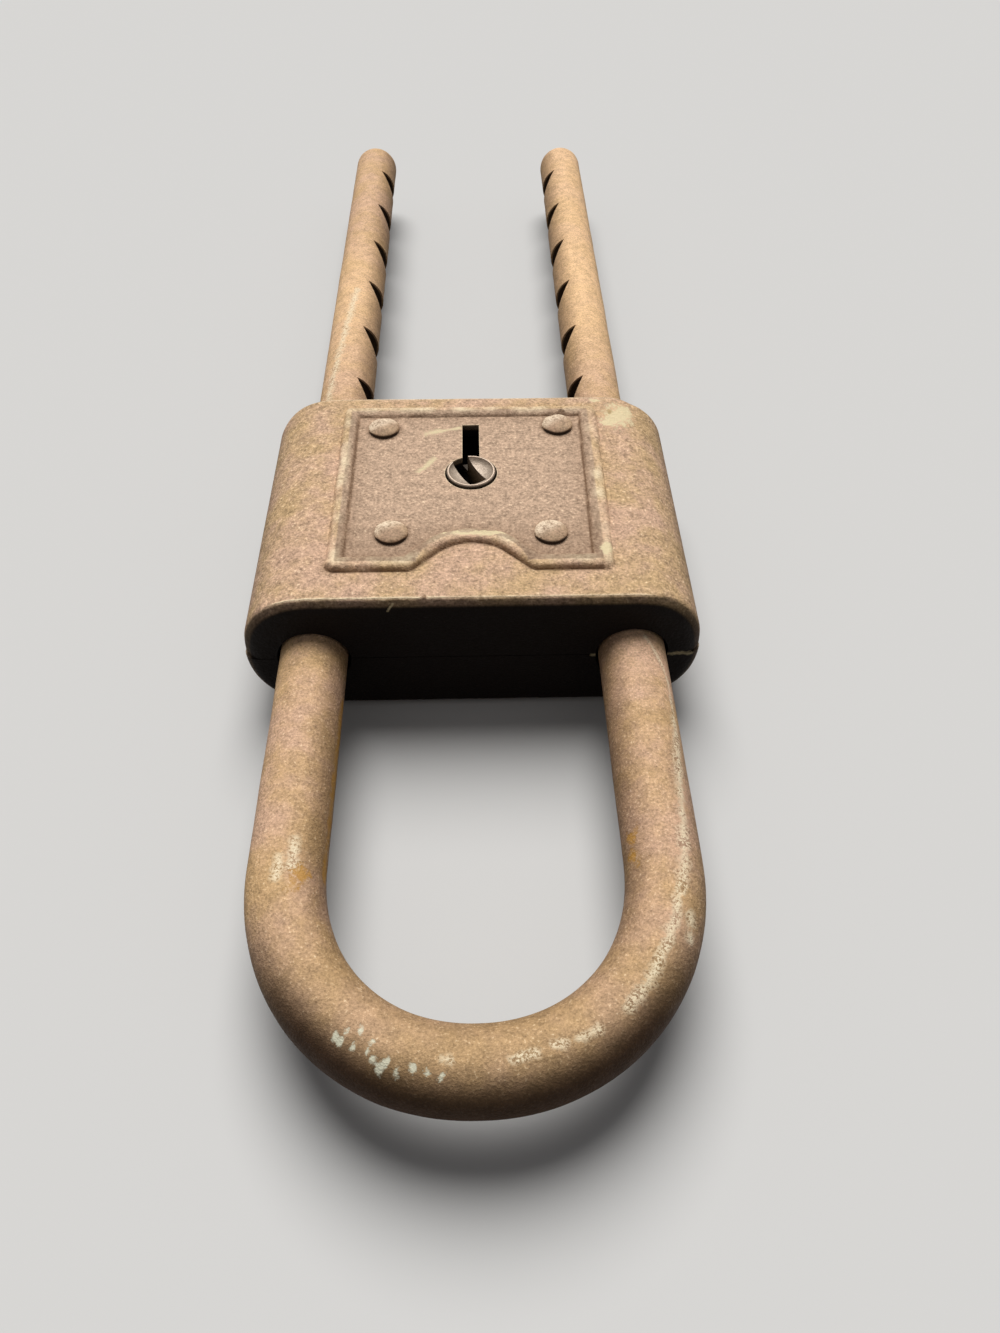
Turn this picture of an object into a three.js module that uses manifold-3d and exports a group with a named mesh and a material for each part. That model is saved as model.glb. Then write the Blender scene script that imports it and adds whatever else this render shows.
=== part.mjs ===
// An old adjustable-shackle padlock, lying on its back as it was found.
// Millimetres, +Z up out of the keyhole face, +Y along the legs towards their free ends.
// The origin is the middle of the case's flat back face.
import * as THREE from "three";
import { mergeVertices } from "three/addons/utils/BufferGeometryUtils.js";
import Module from "manifold-3d";

// Case: two pressed shells that meet half way through its thickness
const caseWidth = 54;
const caseHeight = 40;
const caseThickness = 18;
const wall = 1.8;
const sidePower = 2.25; // 2 makes the case's sides plain half rounds, more makes them squarer
const edgeRound = 1.2;
const seamGap = 0.1;

// Shackle: one bent rod whose two legs pass right through the case
const rodDiameter = 7.94;
const legInset = 8.25; // from the case's side to a leg's axis
const bowReach = 20.3;
const bowPower = 2.12; // 2 makes the bow half an ellipse, more makes its shoulders squarer
const nearLeg = 27.8; // straight leg between the case and the start of the bow
const legEndDome = 3;
const legHoleClearance = 0.33;

// Saw-tooth notches on the inner side of both legs
const notchCount = 9;
const notchOverDogs = 7; // counted from the free end: the one the dogs lie at, as it was left
const notchPitch = 14.3;
const firstNotch = 11.9; // from a leg's free end
const notchDepth = 2.2;
const notchRamp = 5;

// Raised bead that frames the keyhole face, set in from the case's edges
const panelTopInset = 4.1;
const panelBottomInset = 6.35;
const panelTopSideInset = 10.9;
const panelBottomSideInset = 11.15;
const panelCorner = 1.1;
const archRise = 4.75;
const archRadius = 6.8; // round top of the arch, between ramps that rise at 45 degrees
const beadWidth = 1.9;
const beadHeight = 0.8;
const beadCrown = 0.5; // the flat width on top of the bead, before its rounded flanks
const beadSink = 0.2; // how deep the bead is rooted in the face

// Keyhole and drum
const keySlotInset = 2.85; // from the bead to the tip of the key's slot
const keyReach = 10.1; // from the drum's axis to the tip of the key's bit
const keySlotWidth = 2.2;
const drumRadius = 3.1;
const drumFit = 0.15;
const drumProud = 0.4;
const drumRim = 0.45;
const drumDish = 0.9;
const drumSlotBack = 1.9; // how far the drum's slot runs past its axis
const turned = THREE.MathUtils.degToRad(30); // the drum's turn from locked, as it was left

// Stack of the works, down from the front wall to the dogs
const flangeGap = 0.25;
const flangeThickness = 0.65;
const leverThickness = 0.75;
const leverGap = 0.2;
const leverOverFloor = 0.05;
const drumFloor = 0.8; // what is left of the drum under its slot
const plateGap = 0.15;
const partitionThickness = 0.7;
const dogGap = 0.2;

// Stack of the works, up from the back wall to the dogs
const camPlateRise = 3.5;
const camPlateThickness = 1.2;
const camPlateGap = 0.4;

// Drum's lower works
const flangeLip = 1.3;
const stemRadius = 2;
const stemSquare = 2.6;
const pivotRadius = 1.2;
const bushRadius = 2.4;
const bushHeight = 2.2;
const pivotBossWall = 1.4;
const camPinRadius = 0.8;
const camPinReach = 4.8;
const camPlateHalf = 1.9;

// Dogs: the two sliding bolts that catch in the notches
const notchRise = 1.45; // from the drum's axis to the notch at the dogs
const dogEngage = 1.8;
const dogFit = 0.3;
const dogInner = 3.6; // each dog's inner end, from the middle, at rest
const dogDrop = 6.55; // from the drum's axis to the dogs' near edges
const dogLug = [5.2, 6.9];
const dogLugLength = 2;
const tailHalfY = 1.75;
const tailOverhang = 1.85;
const pinSlotHalf = [0.95, 1.15];
const stumpRadius = 0.9;
const stumpX = 5;
const stumpRise = 2.85; // from the tip of the key's slot
const stumpMargin = [1.4, 1.3]; // of the dog's arm round the stump

// Rivets that hold the two shells together, each set in from the bead's side and end
const farLeftRivetInset = [4.7, 3.7];
const farRightRivetInset = [4.6, 3.3];
const nearLeftRivetInset = [6.3, 5.25];
const nearRightRivetInset = [6.4, 5.05];
const rivetRadius = 1.6;
const rivetFit = 0.15;
const rivetHeadRadius = 2;
const rivetHeadHeight = 0.75;
const rivetHeadRim = 0.12;
const rivetHeadSeat = 0.05;
const rivetTailRadius = 2.4;
const rivetTailDepth = 1;
const rivetBossRadius = 2.3;

// Levers and their springs
const leverTurn = THREE.MathUtils.degToRad(5);
const leverBushRadius = 2.4;
const leverBossRadius = 3.9;
const bushCollarRadius = 3.3;
const leverFit = 0.12;
const leverBarLength = 4; // past the stump
const leverBar = [0.25, 4.55]; // the bar's two edges, up from the tip of the key's slot
const gateHalf = 1.2;
const leafThickness = 0.35;
const blockOverhang = 1.05; // how far the block reaches over a leg, past the edge of its hole
const blockSize = [2.9, 1.65];
const blockOverLevers = 0.6;
const leafSlit = 0.75;

// Hairpin spring that pushes both dogs out, and the post that it wraps
const hairpinPostDrop = 14.45; // from the drum's axis
const hairpinPostRadius = 1.5;
const hairpinSpigotRadius = 1;
const hairpinThickness = 0.5;
const hairpinSideGap = 0.3;
const hairpinArmDrop = 7.35; // from the drum's axis to the tips of its arms
const hairpinArmLength = 1.2; // the straight part that bears on a dog's lug
const hairpinFit = 0.3;

// Guide channels cast inside the back shell, and the plate's margins in the case
const channelGap = 0.85; // from a leg's hole
const channelLength = 3.7;
const channelWall = 1.4;
const plateNearMargin = 4.6;
const plateFarMargin = 0.4;
const plateCorner = 1.5;

// Scar on the face's near edge
const chipX = -5.4;
const chipWidth = 1.1;
const chipDepth = 0.4;

const snug = 0.1; // between pieces that never move against each other
const rooted = 0.5; // how deep a boss runs into the wall that it stands on
const past = 1; // how far a cutter runs past what it cuts

// Derived from the sizes above
const rodRadius = rodDiameter / 2;
const legX = caseWidth / 2 - legInset;
const midZ = caseThickness / 2;
const halfHeight = caseHeight / 2;
const innerFrontZ = caseThickness - wall;
const innerFarY = halfHeight - wall;
const bowStartY = -halfHeight - nearLeg;
const legHoleRadius = rodRadius + legHoleClearance;
const legHoleEdge = legX - legHoleRadius;
const panelTopY = halfHeight - panelTopInset;
const panelBottomY = panelBottomInset - halfHeight;
const panelTopHalf = caseWidth / 2 - panelTopSideInset;
const panelBottomHalf = caseWidth / 2 - panelBottomSideInset;
const keySide = panelTopY - keySlotInset;
const keyholeY = keySide - keyReach;
const notchY = (k) => keyholeY + notchRise + (notchOverDogs - k) * notchPitch;
const legEndY = notchY(0) + firstNotch;
const dogTravel = camPinReach * turned;
const dogBottomY = keyholeY - dogDrop;
const dogLugBottom = dogBottomY - dogLugLength;
const stumpAt = [stumpX, keySide + stumpRise];
const hairpinPost = [0, keyholeY - hairpinPostDrop];
const rivetPlaces = {
  far_left_rivet: [farLeftRivetInset[0] - panelTopHalf, panelTopY - farLeftRivetInset[1]],
  far_right_rivet: [panelTopHalf - farRightRivetInset[0], panelTopY - farRightRivetInset[1]],
  near_left_rivet: [nearLeftRivetInset[0] - panelBottomHalf, panelBottomY + nearLeftRivetInset[1]],
  near_right_rivet: [panelBottomHalf - nearRightRivetInset[0], panelBottomY + nearRightRivetInset[1]],
};

// Levels of the works, each as its lower and upper face
const flangeZ = [innerFrontZ - flangeGap - flangeThickness, innerFrontZ - flangeGap];
const leverZ = [2, 1, 0].map((below) => {
  const top = flangeZ[0] - flangeGap - below * (leverThickness + leverGap);
  return [top - leverThickness, top];
});
const drumSlotFloorZ = leverZ[0][0] - leverOverFloor;
const drumShoulderZ = drumSlotFloorZ - drumFloor;
const partitionZ = [drumShoulderZ - plateGap - partitionThickness, drumShoulderZ - plateGap];
const camPlateZ = [wall + camPlateRise, wall + camPlateRise + camPlateThickness];
const dogZ = [camPlateZ[1] + camPlateGap, partitionZ[0] - dogGap];
const bushTopZ = wall + bushHeight;

const rust = new THREE.MeshStandardMaterial({ color: 0x8a6746, roughness: 0.62, metalness: 0.45 });
const rod = new THREE.MeshStandardMaterial({ color: 0x94704c, roughness: 0.55, metalness: 0.55 });
const rivetIron = new THREE.MeshStandardMaterial({ color: 0x9a7753, roughness: 0.5, metalness: 0.55 });
const drumMetal = new THREE.MeshStandardMaterial({ color: 0x6d6254, roughness: 0.5, metalness: 0.6 });
const dogMetal = new THREE.MeshStandardMaterial({ color: 0x77706a, roughness: 0.5, metalness: 0.7 });
const leverBrass = new THREE.MeshStandardMaterial({ color: 0xa8884e, roughness: 0.45, metalness: 0.8 });
const springSteel = new THREE.MeshStandardMaterial({ color: 0x55504b, roughness: 0.4, metalness: 0.8 });

const wasm = await Module();
wasm.setup();

// A three.js geometry as a solid that can be joined and cut
function solid(geometry) {
  const bare = geometry.clone();
  bare.deleteAttribute("normal");
  bare.deleteAttribute("uv");
  const merged = mergeVertices(bare, 1e-4);
  return new wasm.Manifold(
    new wasm.Mesh({
      numProp: 3,
      vertProperties: new Float32Array(merged.attributes.position.array),
      triVerts: new Uint32Array(merged.index.array),
    }),
  );
}

function piece(name, body, material) {
  const mesh = body.getMesh();
  const geometry = new THREE.BufferGeometry();
  geometry.setAttribute("position", new THREE.BufferAttribute(mesh.vertProperties, 3));
  geometry.setIndex(new THREE.BufferAttribute(mesh.triVerts, 1));
  const made = new THREE.Mesh(geometry, material);
  made.name = name;
  return made;
}

const joined = (bodies) => bodies.reduce((whole, next) => whole.add(next));
const cut = (body, cutters) => cutters.reduce((left, next) => left.subtract(next), body);
const through = ([low, high]) => [low - past, high + past];

// A flat outline in X and Y, made solid between two levels
function plate(shape, [low, high]) {
  const depth = high - low;
  const geometry = new THREE.ExtrudeGeometry(shape, { depth, bevelEnabled: false, curveSegments: 16 });
  return solid(geometry.translate(0, 0, low));
}

function box([x0, x1], [y0, y1], [z0, z1]) {
  const geometry = new THREE.BoxGeometry(x1 - x0, y1 - y0, z1 - z0);
  return solid(geometry.translate((x0 + x1) / 2, (y0 + y1) / 2, (z0 + z1) / 2));
}

// A round bar standing along Z
function bar(radius, [x, y], [low, high], sides = 24) {
  const geometry = new THREE.CylinderGeometry(radius, radius, high - low, sides);
  return solid(geometry.rotateX(Math.PI / 2).translate(x, y, (low + high) / 2));
}

// A turned form about an axis along Z, from (radius, level) pairs
function turnedForm(profile, [x, y], sides = 28) {
  const points = profile.map(([r, z]) => new THREE.Vector2(r, z));
  return solid(new THREE.LatheGeometry(points, sides).rotateX(Math.PI / 2).translate(x, y, 0));
}

// A ring of square section about an axis along Z
function sleeve(inner, outer, [low, high], place) {
  return turnedForm([[inner, low], [outer, low], [outer, high], [inner, high], [inner, low]], place);
}

const outline = (corners) => new THREE.Shape(corners.map(([x, y]) => new THREE.Vector2(x, y)));

function roundedBox([x0, x1], [y0, y1], r) {
  const shape = new THREE.Shape();
  shape.moveTo(x0 + r, y0).lineTo(x1 - r, y0).quadraticCurveTo(x1, y0, x1, y0 + r);
  shape.lineTo(x1, y1 - r).quadraticCurveTo(x1, y1, x1 - r, y1);
  shape.lineTo(x0 + r, y1).quadraticCurveTo(x0, y1, x0, y1 - r);
  shape.lineTo(x0, y0 + r).quadraticCurveTo(x0, y0, x0 + r, y0);
  return shape;
}

// A strip of even thickness along a line of points
function stripOutline(points, thickness) {
  const left = [];
  const right = [];
  points.forEach((p, i) => {
    const from = points[Math.max(i - 1, 0)];
    const to = points[Math.min(i + 1, points.length - 1)];
    const normal = new THREE.Vector2(from.y - to.y, to.x - from.x).normalize();
    left.push(p.clone().addScaledVector(normal, thickness / 2));
    right.push(p.clone().addScaledVector(normal, -thickness / 2));
  });
  return new THREE.Shape([...left, ...right.reverse()]);
}

// The case's cross-section, drawn in by a distance
function caseSection(inset) {
  const flatHalf = caseWidth / 2 - midZ;
  const reach = midZ - inset;
  const steps = 11;
  const points = [];
  for (let side = 1; side >= -1; side -= 2) {
    for (let i = 0; i <= 2 * steps; i++) {
      const angle = (Math.PI * i) / (2 * steps) - Math.PI / 2;
      const c = Math.abs(Math.cos(angle)) ** (2 / sidePower);
      const s = Math.sign(angle) * Math.abs(Math.sin(angle)) ** (2 / sidePower);
      points.push(new THREE.Vector2(side * (flatHalf + reach * c), side * reach * s));
    }
  }
  return new THREE.Shape(points);
}

// A section drawn in X and Z, run along Y
function runAlongY(shape, halfLength, bevel = 0) {
  const geometry = new THREE.ExtrudeGeometry(shape, {
    depth: 2 * (halfLength - bevel),
    bevelEnabled: bevel > 0,
    bevelThickness: bevel,
    bevelSize: bevel,
    bevelOffset: -bevel,
    bevelSegments: 4,
    curveSegments: 1,
  });
  return solid(geometry.rotateX(Math.PI / 2).translate(0, halfLength - bevel, midZ));
}

// The hollow case, and the box that keeps one shell of it
const caseBody = () =>
  runAlongY(caseSection(0), halfHeight, edgeRound).subtract(runAlongY(caseSection(wall), innerFarY));
const caseHalf = (levels) =>
  caseBody().intersect(box([-caseWidth, caseWidth], [-caseHeight, caseHeight], levels));

// The holes that both legs slide through, along Y
function legHoles() {
  return [-legX, legX].map((x) => {
    const geometry = new THREE.CylinderGeometry(legHoleRadius, legHoleRadius, caseHeight + 2 * past, 32);
    return solid(geometry.translate(x, 0, midZ));
  });
}

function rivetHoles() {
  const levels = through([0, caseThickness]);
  return Object.values(rivetPlaces).map((place) => bar(rivetRadius + rivetFit, place, levels));
}

// The frame of the face: square corners, with a round-topped arch rising from its bottom edge
function panelOutline() {
  const foot = archRadius * Math.SQRT1_2;
  const rampTop = archRise - archRadius * (1 - Math.SQRT1_2);
  const archHalf = foot + rampTop;
  const r = panelCorner;
  const [top, bottom, a, b] = [panelTopY, panelBottomY, panelTopHalf, panelBottomHalf];
  const shape = new THREE.Shape();
  shape.moveTo(r - b, bottom).lineTo(-archHalf, bottom).lineTo(-foot, bottom + rampTop);
  shape.absarc(0, bottom + archRise - archRadius, archRadius, 0.75 * Math.PI, 0.25 * Math.PI, true);
  shape.lineTo(archHalf, bottom).lineTo(b - r, bottom).quadraticCurveTo(b, bottom, b, bottom + r);
  shape.lineTo(a, top - r).quadraticCurveTo(a, top, a - r, top);
  shape.lineTo(r - a, top).quadraticCurveTo(-a, top, -a, top - r);
  shape.lineTo(-b, bottom + r).quadraticCurveTo(-b, bottom, r - b, bottom);
  return shape;
}

// The same line moved in or out, so that two of them bound the bead's crown
function shifted(points, distance) {
  const count = points.length;
  return points.map((p, i) => {
    const before = points[(i + count - 1) % count];
    const after = points[(i + 1) % count];
    const normal = new THREE.Vector2(p.y - before.y, before.x - p.x).normalize();
    normal.add(new THREE.Vector2(after.y - p.y, p.x - after.x).normalize());
    return p.clone().addScaledVector(normal, (2 * distance) / normal.lengthSq());
  });
}

function faceBead() {
  const line = panelOutline().getPoints(7);
  if (line[0].distanceTo(line[line.length - 1]) < 1e-6) line.pop();
  const crown = new THREE.Shape(shifted(line, beadCrown / 2));
  crown.holes.push(new THREE.Path(shifted(line, -beadCrown / 2)));
  const geometry = new THREE.ExtrudeGeometry(crown, {
    depth: 2 * beadSink,
    bevelEnabled: true,
    bevelThickness: beadHeight,
    bevelSize: (beadWidth - beadCrown) / 2,
    bevelSegments: 3,
    curveSegments: 1,
  });
  const whole = solid(geometry.translate(0, 0, caseThickness - 2 * beadSink));
  const levels = [caseThickness - beadSink, caseThickness + beadHeight + past];
  return whole.intersect(box([-caseWidth, caseWidth], [-caseHeight, caseHeight], levels));
}

// Round hole for the drum, and the slot above it for the key's bit
function keyhole() {
  const levels = through([innerFrontZ, caseThickness + beadHeight]);
  const slot = box([-keySlotWidth / 2, keySlotWidth / 2], [keyholeY, keySide], levels);
  return bar(drumRadius + drumFit, [0, keyholeY], levels, 36).add(slot);
}

// A nick knocked out of the face's near edge
function edgeChip() {
  const geometry = new THREE.ConeGeometry(chipWidth, 2 * chipDepth, 7);
  return solid(geometry.rotateX(-Math.PI / 4).translate(chipX, edgeRound / 2 - halfHeight, caseThickness));
}

function frontShell() {
  const shell = caseHalf([midZ + seamGap / 2, caseThickness + past]);
  const { far_left_rivet: underBush, ...others } = rivetPlaces;
  const levels = [partitionZ[1] + snug, innerFrontZ + rooted];
  const bosses = Object.values(others).map((place) => bar(rivetBossRadius, place, levels));
  const cutters = [...legHoles(), keyhole(), ...rivetHoles(), edgeChip()];
  return cut(joined([shell, ...bosses, faceBead()]), cutters);
}

// One guide channel: a pad under the dog and a rib on each side of it
function dogChannel(side) {
  const low = dogBottomY - dogFit;
  const high = notchY(notchOverDogs);
  const outer = legHoleEdge - channelGap;
  const x = [side * (outer - channelLength), side * outer].sort((a, b) => a - b);
  const block = box(x, [low - channelWall, high + channelWall], [wall - rooted, dogZ[1]]);
  return block.subtract(box(through(x), [low, high], [dogZ[0] - dogGap, dogZ[1] + past]));
}

function backShell() {
  const shell = caseHalf([-past, midZ - seamGap / 2]);
  const levels = [wall - rooted, partitionZ[0] - snug];
  const bosses = Object.values(rivetPlaces).map((place) => bar(rivetBossRadius, place, levels));
  const pivotBoss = bar(bushRadius + pivotBossWall, [0, keyholeY], [wall - rooted, bushTopZ - dogFit]);
  const whole = joined([shell, ...bosses, pivotBoss, dogChannel(-1), dogChannel(1)]);
  const mouth = rivetTailRadius + rivetFit;
  const floor = rivetTailDepth + snug;
  const shank = rivetRadius + rivetFit;
  const tailProfile = [[0, -past], [mouth, -past], [mouth, snug], [shank, floor], [0, floor]];
  const tails = Object.values(rivetPlaces).map((place) => turnedForm(tailProfile, place));
  const bushHole = bar(bushRadius + snug, [0, keyholeY], [wall, bushTopZ]);
  return cut(whole, [...legHoles(), ...rivetHoles(), ...tails, bushHole]);
}

// A plain rivet: domed head on the face, shank through both shells, tail set into the back
function rivet(place) {
  const foot = rivetHeadSeat;
  const headBase = caseThickness + rivetHeadSeat;
  const profile = [[0, foot], [rivetTailRadius, foot], [rivetTailRadius, snug],
    [rivetRadius, rivetTailDepth], [rivetRadius, headBase], [rivetHeadRadius, headBase]];
  const steps = 5;
  for (let i = 1; i < steps; i++) {
    const angle = (Math.PI / 2) * (i / steps);
    const level = headBase + rivetHeadRim + rivetHeadHeight * Math.sin(angle);
    profile.push([rivetHeadRadius * Math.cos(angle), level]);
  }
  profile.push([0, headBase + rivetHeadRim + rivetHeadHeight]);
  return turnedForm(profile, place);
}

// The rod's centre line: up one leg, round the bow and down the other
class ShackleLine extends THREE.Curve {
  constructor(steps) {
    super();
    this.steps = steps;
  }
  getUtoTmapping(u) {
    return u;
  }
  getPoint(t, target = new THREE.Vector3()) {
    const along = t * this.steps;
    const last = this.steps - 1;
    if (along <= 1) {
      return target.set(-legX, THREE.MathUtils.lerp(legEndY + past, bowStartY, along), midZ);
    }
    if (along >= last) {
      return target.set(legX, THREE.MathUtils.lerp(bowStartY, legEndY + past, along - last), midZ);
    }
    const angle = (Math.PI * (along - 1)) / (last - 1);
    const x = Math.sign(-Math.cos(angle)) * Math.abs(Math.cos(angle)) ** (2 / bowPower);
    return target.set(legX * x, bowStartY - bowReach * Math.sin(angle) ** (2 / bowPower), midZ);
  }
}

function roundSection(radius, sides) {
  const points = [];
  for (let i = 0; i < sides; i++) {
    const angle = (2 * Math.PI * i) / sides;
    points.push(new THREE.Vector2(radius * Math.cos(angle), radius * Math.sin(angle)));
  }
  return new THREE.Shape(points);
}

// What is cut away to leave a domed free end on a leg
function legEndCutter(x) {
  const outer = rodRadius + past;
  const foot = legEndY - legEndDome;
  const profile = [new THREE.Vector2(0, legEndY)];
  const steps = 5;
  for (let i = 1; i <= steps; i++) {
    const angle = (Math.PI / 2) * (i / steps);
    const level = legEndY - legEndDome * (1 - Math.cos(angle));
    profile.push(new THREE.Vector2(rodRadius * Math.sin(angle), level));
  }
  profile.push(new THREE.Vector2(outer, foot), new THREE.Vector2(outer, legEndY + 2 * past));
  profile.push(new THREE.Vector2(0, legEndY + 2 * past));
  return solid(new THREE.LatheGeometry(profile, 32).translate(x, 0, midZ));
}

// One saw tooth: a square face towards the bow, and a ramp that rises towards the bow
function notchCutter(side, y) {
  const surface = legX - rodRadius;
  const slope = notchDepth / notchRamp;
  const shape = outline([
    [side * (surface - past), y],
    [side * (surface + notchDepth), y],
    [side * (surface - past), y - notchRamp - past / slope],
  ]);
  return plate(shape, through([midZ - rodRadius, midZ + rodRadius]));
}

function shackle() {
  const steps = 26;
  const geometry = new THREE.ExtrudeGeometry(roundSection(rodRadius, 24), {
    steps,
    extrudePath: new ShackleLine(steps),
    bevelEnabled: false,
  });
  const cutters = [];
  for (const side of [-1, 1]) {
    cutters.push(legEndCutter(side * legX));
    for (let k = 0; k < notchCount; k++) cutters.push(notchCutter(side, notchY(k)));
  }
  return cut(solid(geometry), cutters);
}

// Drum: dished head in the keyhole, flange behind the face, stem down to its pivot
function keyDrum() {
  const top = caseThickness + drumProud;
  const flangeRadius = drumRadius + flangeLip;
  const stemTop = camPlateZ[1] + dogGap;
  const profile = [[0, wall + rooted], [pivotRadius, wall + rooted], [pivotRadius, stemTop],
    [stemRadius, stemTop], [stemRadius, drumShoulderZ], [drumRadius, drumShoulderZ],
    [drumRadius, flangeZ[0]], [flangeRadius, flangeZ[0]], [flangeRadius, flangeZ[1]],
    [drumRadius, flangeZ[1]], [drumRadius, top - drumFit], [drumRadius - drumFit, top]];
  const dish = drumRadius - drumRim;
  const steps = 4;
  for (let i = 0; i <= steps; i++) {
    const angle = (Math.PI / 2) * (i / steps);
    profile.push([dish * Math.cos(angle), top - drumDish * Math.sin(angle)]);
  }
  // The stem is squared where the cam plate fits over it
  const half = stemSquare / 2;
  const squareZ = [camPlateZ[0] - dogGap, stemTop + snug];
  const square = box([-half, half], [keyholeY - half, keyholeY + half], squareZ);
  const slot = box(
    [-keySlotWidth / 2, keySlotWidth / 2],
    [keyholeY - drumSlotBack, keyholeY + flangeRadius + past],
    [drumSlotFloorZ, top + past],
  );
  return turnedForm(profile, [0, keyholeY], 36).add(square).subtract(slot);
}

// Cam plate: two arms, each with a pin that drives one dog
function camPlate() {
  const tips = [keyholeY - camPinReach, keyholeY + camPinReach];
  const arms = box([-camPlateHalf, camPlateHalf], tips, camPlateZ);
  const hub = bar(stemRadius + past, [0, keyholeY], camPlateZ);
  const ends = tips.map((y) => bar(camPlateHalf, [0, y], camPlateZ));
  const pins = tips.map((y) => bar(camPinRadius, [0, y], [camPlateZ[0] + dogGap, dogZ[1] - dogGap], 16));
  const half = stemSquare / 2 + snug;
  const hole = box([-half, half], [keyholeY - half, keyholeY + half], through(camPlateZ));
  return joined([arms, ...ends, hub, ...pins]).subtract(turnAboutDrum(hole, turned / 2));
}

function turnAboutDrum(body, angle) {
  const degrees = THREE.MathUtils.radToDeg(angle);
  return body.translate([0, -keyholeY, 0]).rotate([0, 0, degrees]).translate([0, keyholeY, 0]);
}

const drumBush = () =>
  sleeve(pivotRadius + snug, bushRadius, [wall + snug, bushTopZ - snug], [0, keyholeY]);

// The dog's nose, which fits a notch with a little room all round
function noseOutline() {
  const tip = legX - rodRadius + dogEngage - dogTravel;
  const topY = notchY(notchOverDogs) - dogFit;
  return { tip, topY, root: tip - notchDepth, rampFoot: topY - notchRamp };
}

function pinSlot(x, y) {
  const [halfX, halfY] = pinSlotHalf;
  return box([x - halfX, x + halfX], [y - halfY, y + halfY], through(dogZ));
}

// Where the pins stand at rest, and the middle of the small arc that each follows
const pinX = camPinReach * Math.sin(turned / 2);
const pinDip = (camPinReach * (1 + Math.cos(turned / 2))) / 2;

function leftDog() {
  const { tip, topY, root, rampFoot } = noseOutline();
  const pinY = keyholeY - pinDip;
  const tailEnd = pinX + tailOverhang;
  const shape = outline([
    [-tip, topY], [-root, rampFoot], [-root, dogBottomY], [-dogLug[1], dogBottomY],
    [-dogLug[1], dogLugBottom], [-dogLug[0], dogLugBottom], [-dogLug[0], dogBottomY],
    [tailEnd, dogBottomY], [tailEnd, pinY + tailHalfY], [-dogInner, pinY + tailHalfY],
    [-dogInner, topY],
  ]);
  return plate(shape, dogZ).subtract(pinSlot(pinX, pinY));
}

// The right dog reaches over the drum's stem to its own pin, and carries the levers' stump
function rightDog() {
  const { tip, topY, root, rampFoot } = noseOutline();
  const pinY = keyholeY + pinDip;
  const tailEnd = -pinX - tailOverhang;
  const armX = stumpX + stumpMargin[0];
  const armTop = stumpAt[1] + stumpMargin[1];
  const shape = outline([
    [tip, topY], [armX, topY], [armX, armTop], [dogInner, armTop],
    [dogInner, pinY + tailHalfY], [tailEnd, pinY + tailHalfY], [tailEnd, pinY - tailHalfY],
    [dogInner, pinY - tailHalfY], [dogInner, dogBottomY], [dogLug[0], dogBottomY],
    [dogLug[0], dogLugBottom], [dogLug[1], dogLugBottom], [dogLug[1], dogBottomY],
    [root, dogBottomY], [root, rampFoot],
  ]);
  const stump = bar(stumpRadius, stumpAt, [dogZ[1] - rooted, flangeZ[0] - plateGap], 18);
  return plate(shape, dogZ).subtract(pinSlot(-pinX, pinY)).add(stump);
}

// Thin plate between the dogs and the levers, resting on the back shell's rivet bosses
function partitionPlate() {
  const half = legHoleEdge - plateGap;
  const span = [plateNearMargin - innerFarY, innerFarY - plateFarMargin];
  const shape = roundedBox([-half, half], span, plateCorner);
  const slotHalf = stumpRadius + dogFit;
  const levels = through(partitionZ);
  const stumpSlot = box(
    [stumpX - slotHalf, stumpX + dogTravel + slotHalf],
    [stumpAt[1] - slotHalf, stumpAt[1] + slotHalf],
    levels,
  );
  const stemHole = bar(stemRadius + dogGap, [0, keyholeY], levels);
  const spigotHole = bar(hairpinSpigotRadius + plateGap, hairpinPost, levels, 16);
  return cut(plate(shape, partitionZ), [stumpSlot, stemHole, spigotHole, ...rivetHoles()]);
}

// Sleeve round the far left rivet, which the levers turn on
function leverBush() {
  const place = rivetPlaces.far_left_rivet;
  const inner = rivetRadius + rivetFit;
  const low = partitionZ[1] + snug;
  const shoulder = leverZ[0][0] - snug;
  const high = innerFrontZ - snug;
  return turnedForm(
    [[inner, low], [bushCollarRadius, low], [bushCollarRadius, shoulder], [leverBushRadius, shoulder],
      [leverBushRadius, high], [inner, high], [inner, low]],
    place,
  );
}

// The line of a lever's belly, which the key's bit lifts, from its axis to its free end
function leverOutline([px, py]) {
  const [low, high] = leverBar;
  const right = stumpX + leverBarLength;
  const y = (rise) => keySide + rise;
  return outline([
    [px, py + leverBossRadius], [px + 0.2, py - 2.2], [-7.2, y(-2.05)], [-5, y(-0.55)], [-2.2, y(-0.55)],
    [-1.7, y(1.25)], [1.7, y(1.25)], [2.6, y(low)], [right, y(low)], [right, y(high)], [2.6, y(high)],
    [2, y(3.5)],
  ]);
}

// One lever as it stands when lifted, with the stump at the bottom of its slanting gate
function lever(span) {
  const place = rivetPlaces.far_left_rivet;
  const axis = new THREE.Vector2(...place);
  const whole = plate(leverOutline(place), span).add(bar(leverBossRadius, place, span, 32));
  // Seen from the lever, the stump leaves along this line as the lever drops and the dog goes out
  const away = new THREE.Vector2(stumpX + dogTravel, stumpAt[1]).rotateAround(axis, leverTurn);
  const run = away.sub(new THREE.Vector2(...stumpAt));
  const length = run.length() + leverBarLength;
  const over = through(span);
  const slot = solid(
    new THREE.BoxGeometry(length, 2 * gateHalf, over[1] - over[0])
      .translate(length / 2, 0, 0)
      .rotateZ(run.angle())
      .translate(...stumpAt, (over[0] + over[1]) / 2),
  );
  const bore = bar(leverBushRadius + leverFit, place, over, 28);
  return cut(whole, [bar(gateHalf, stumpAt, over, 20), slot, bore]);
}

// Where the block that grips the leaf springs stands: its outer near corner
const blockAt = [-legHoleEdge - blockOverhang, innerFarY - snug - blockSize[1]];

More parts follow.
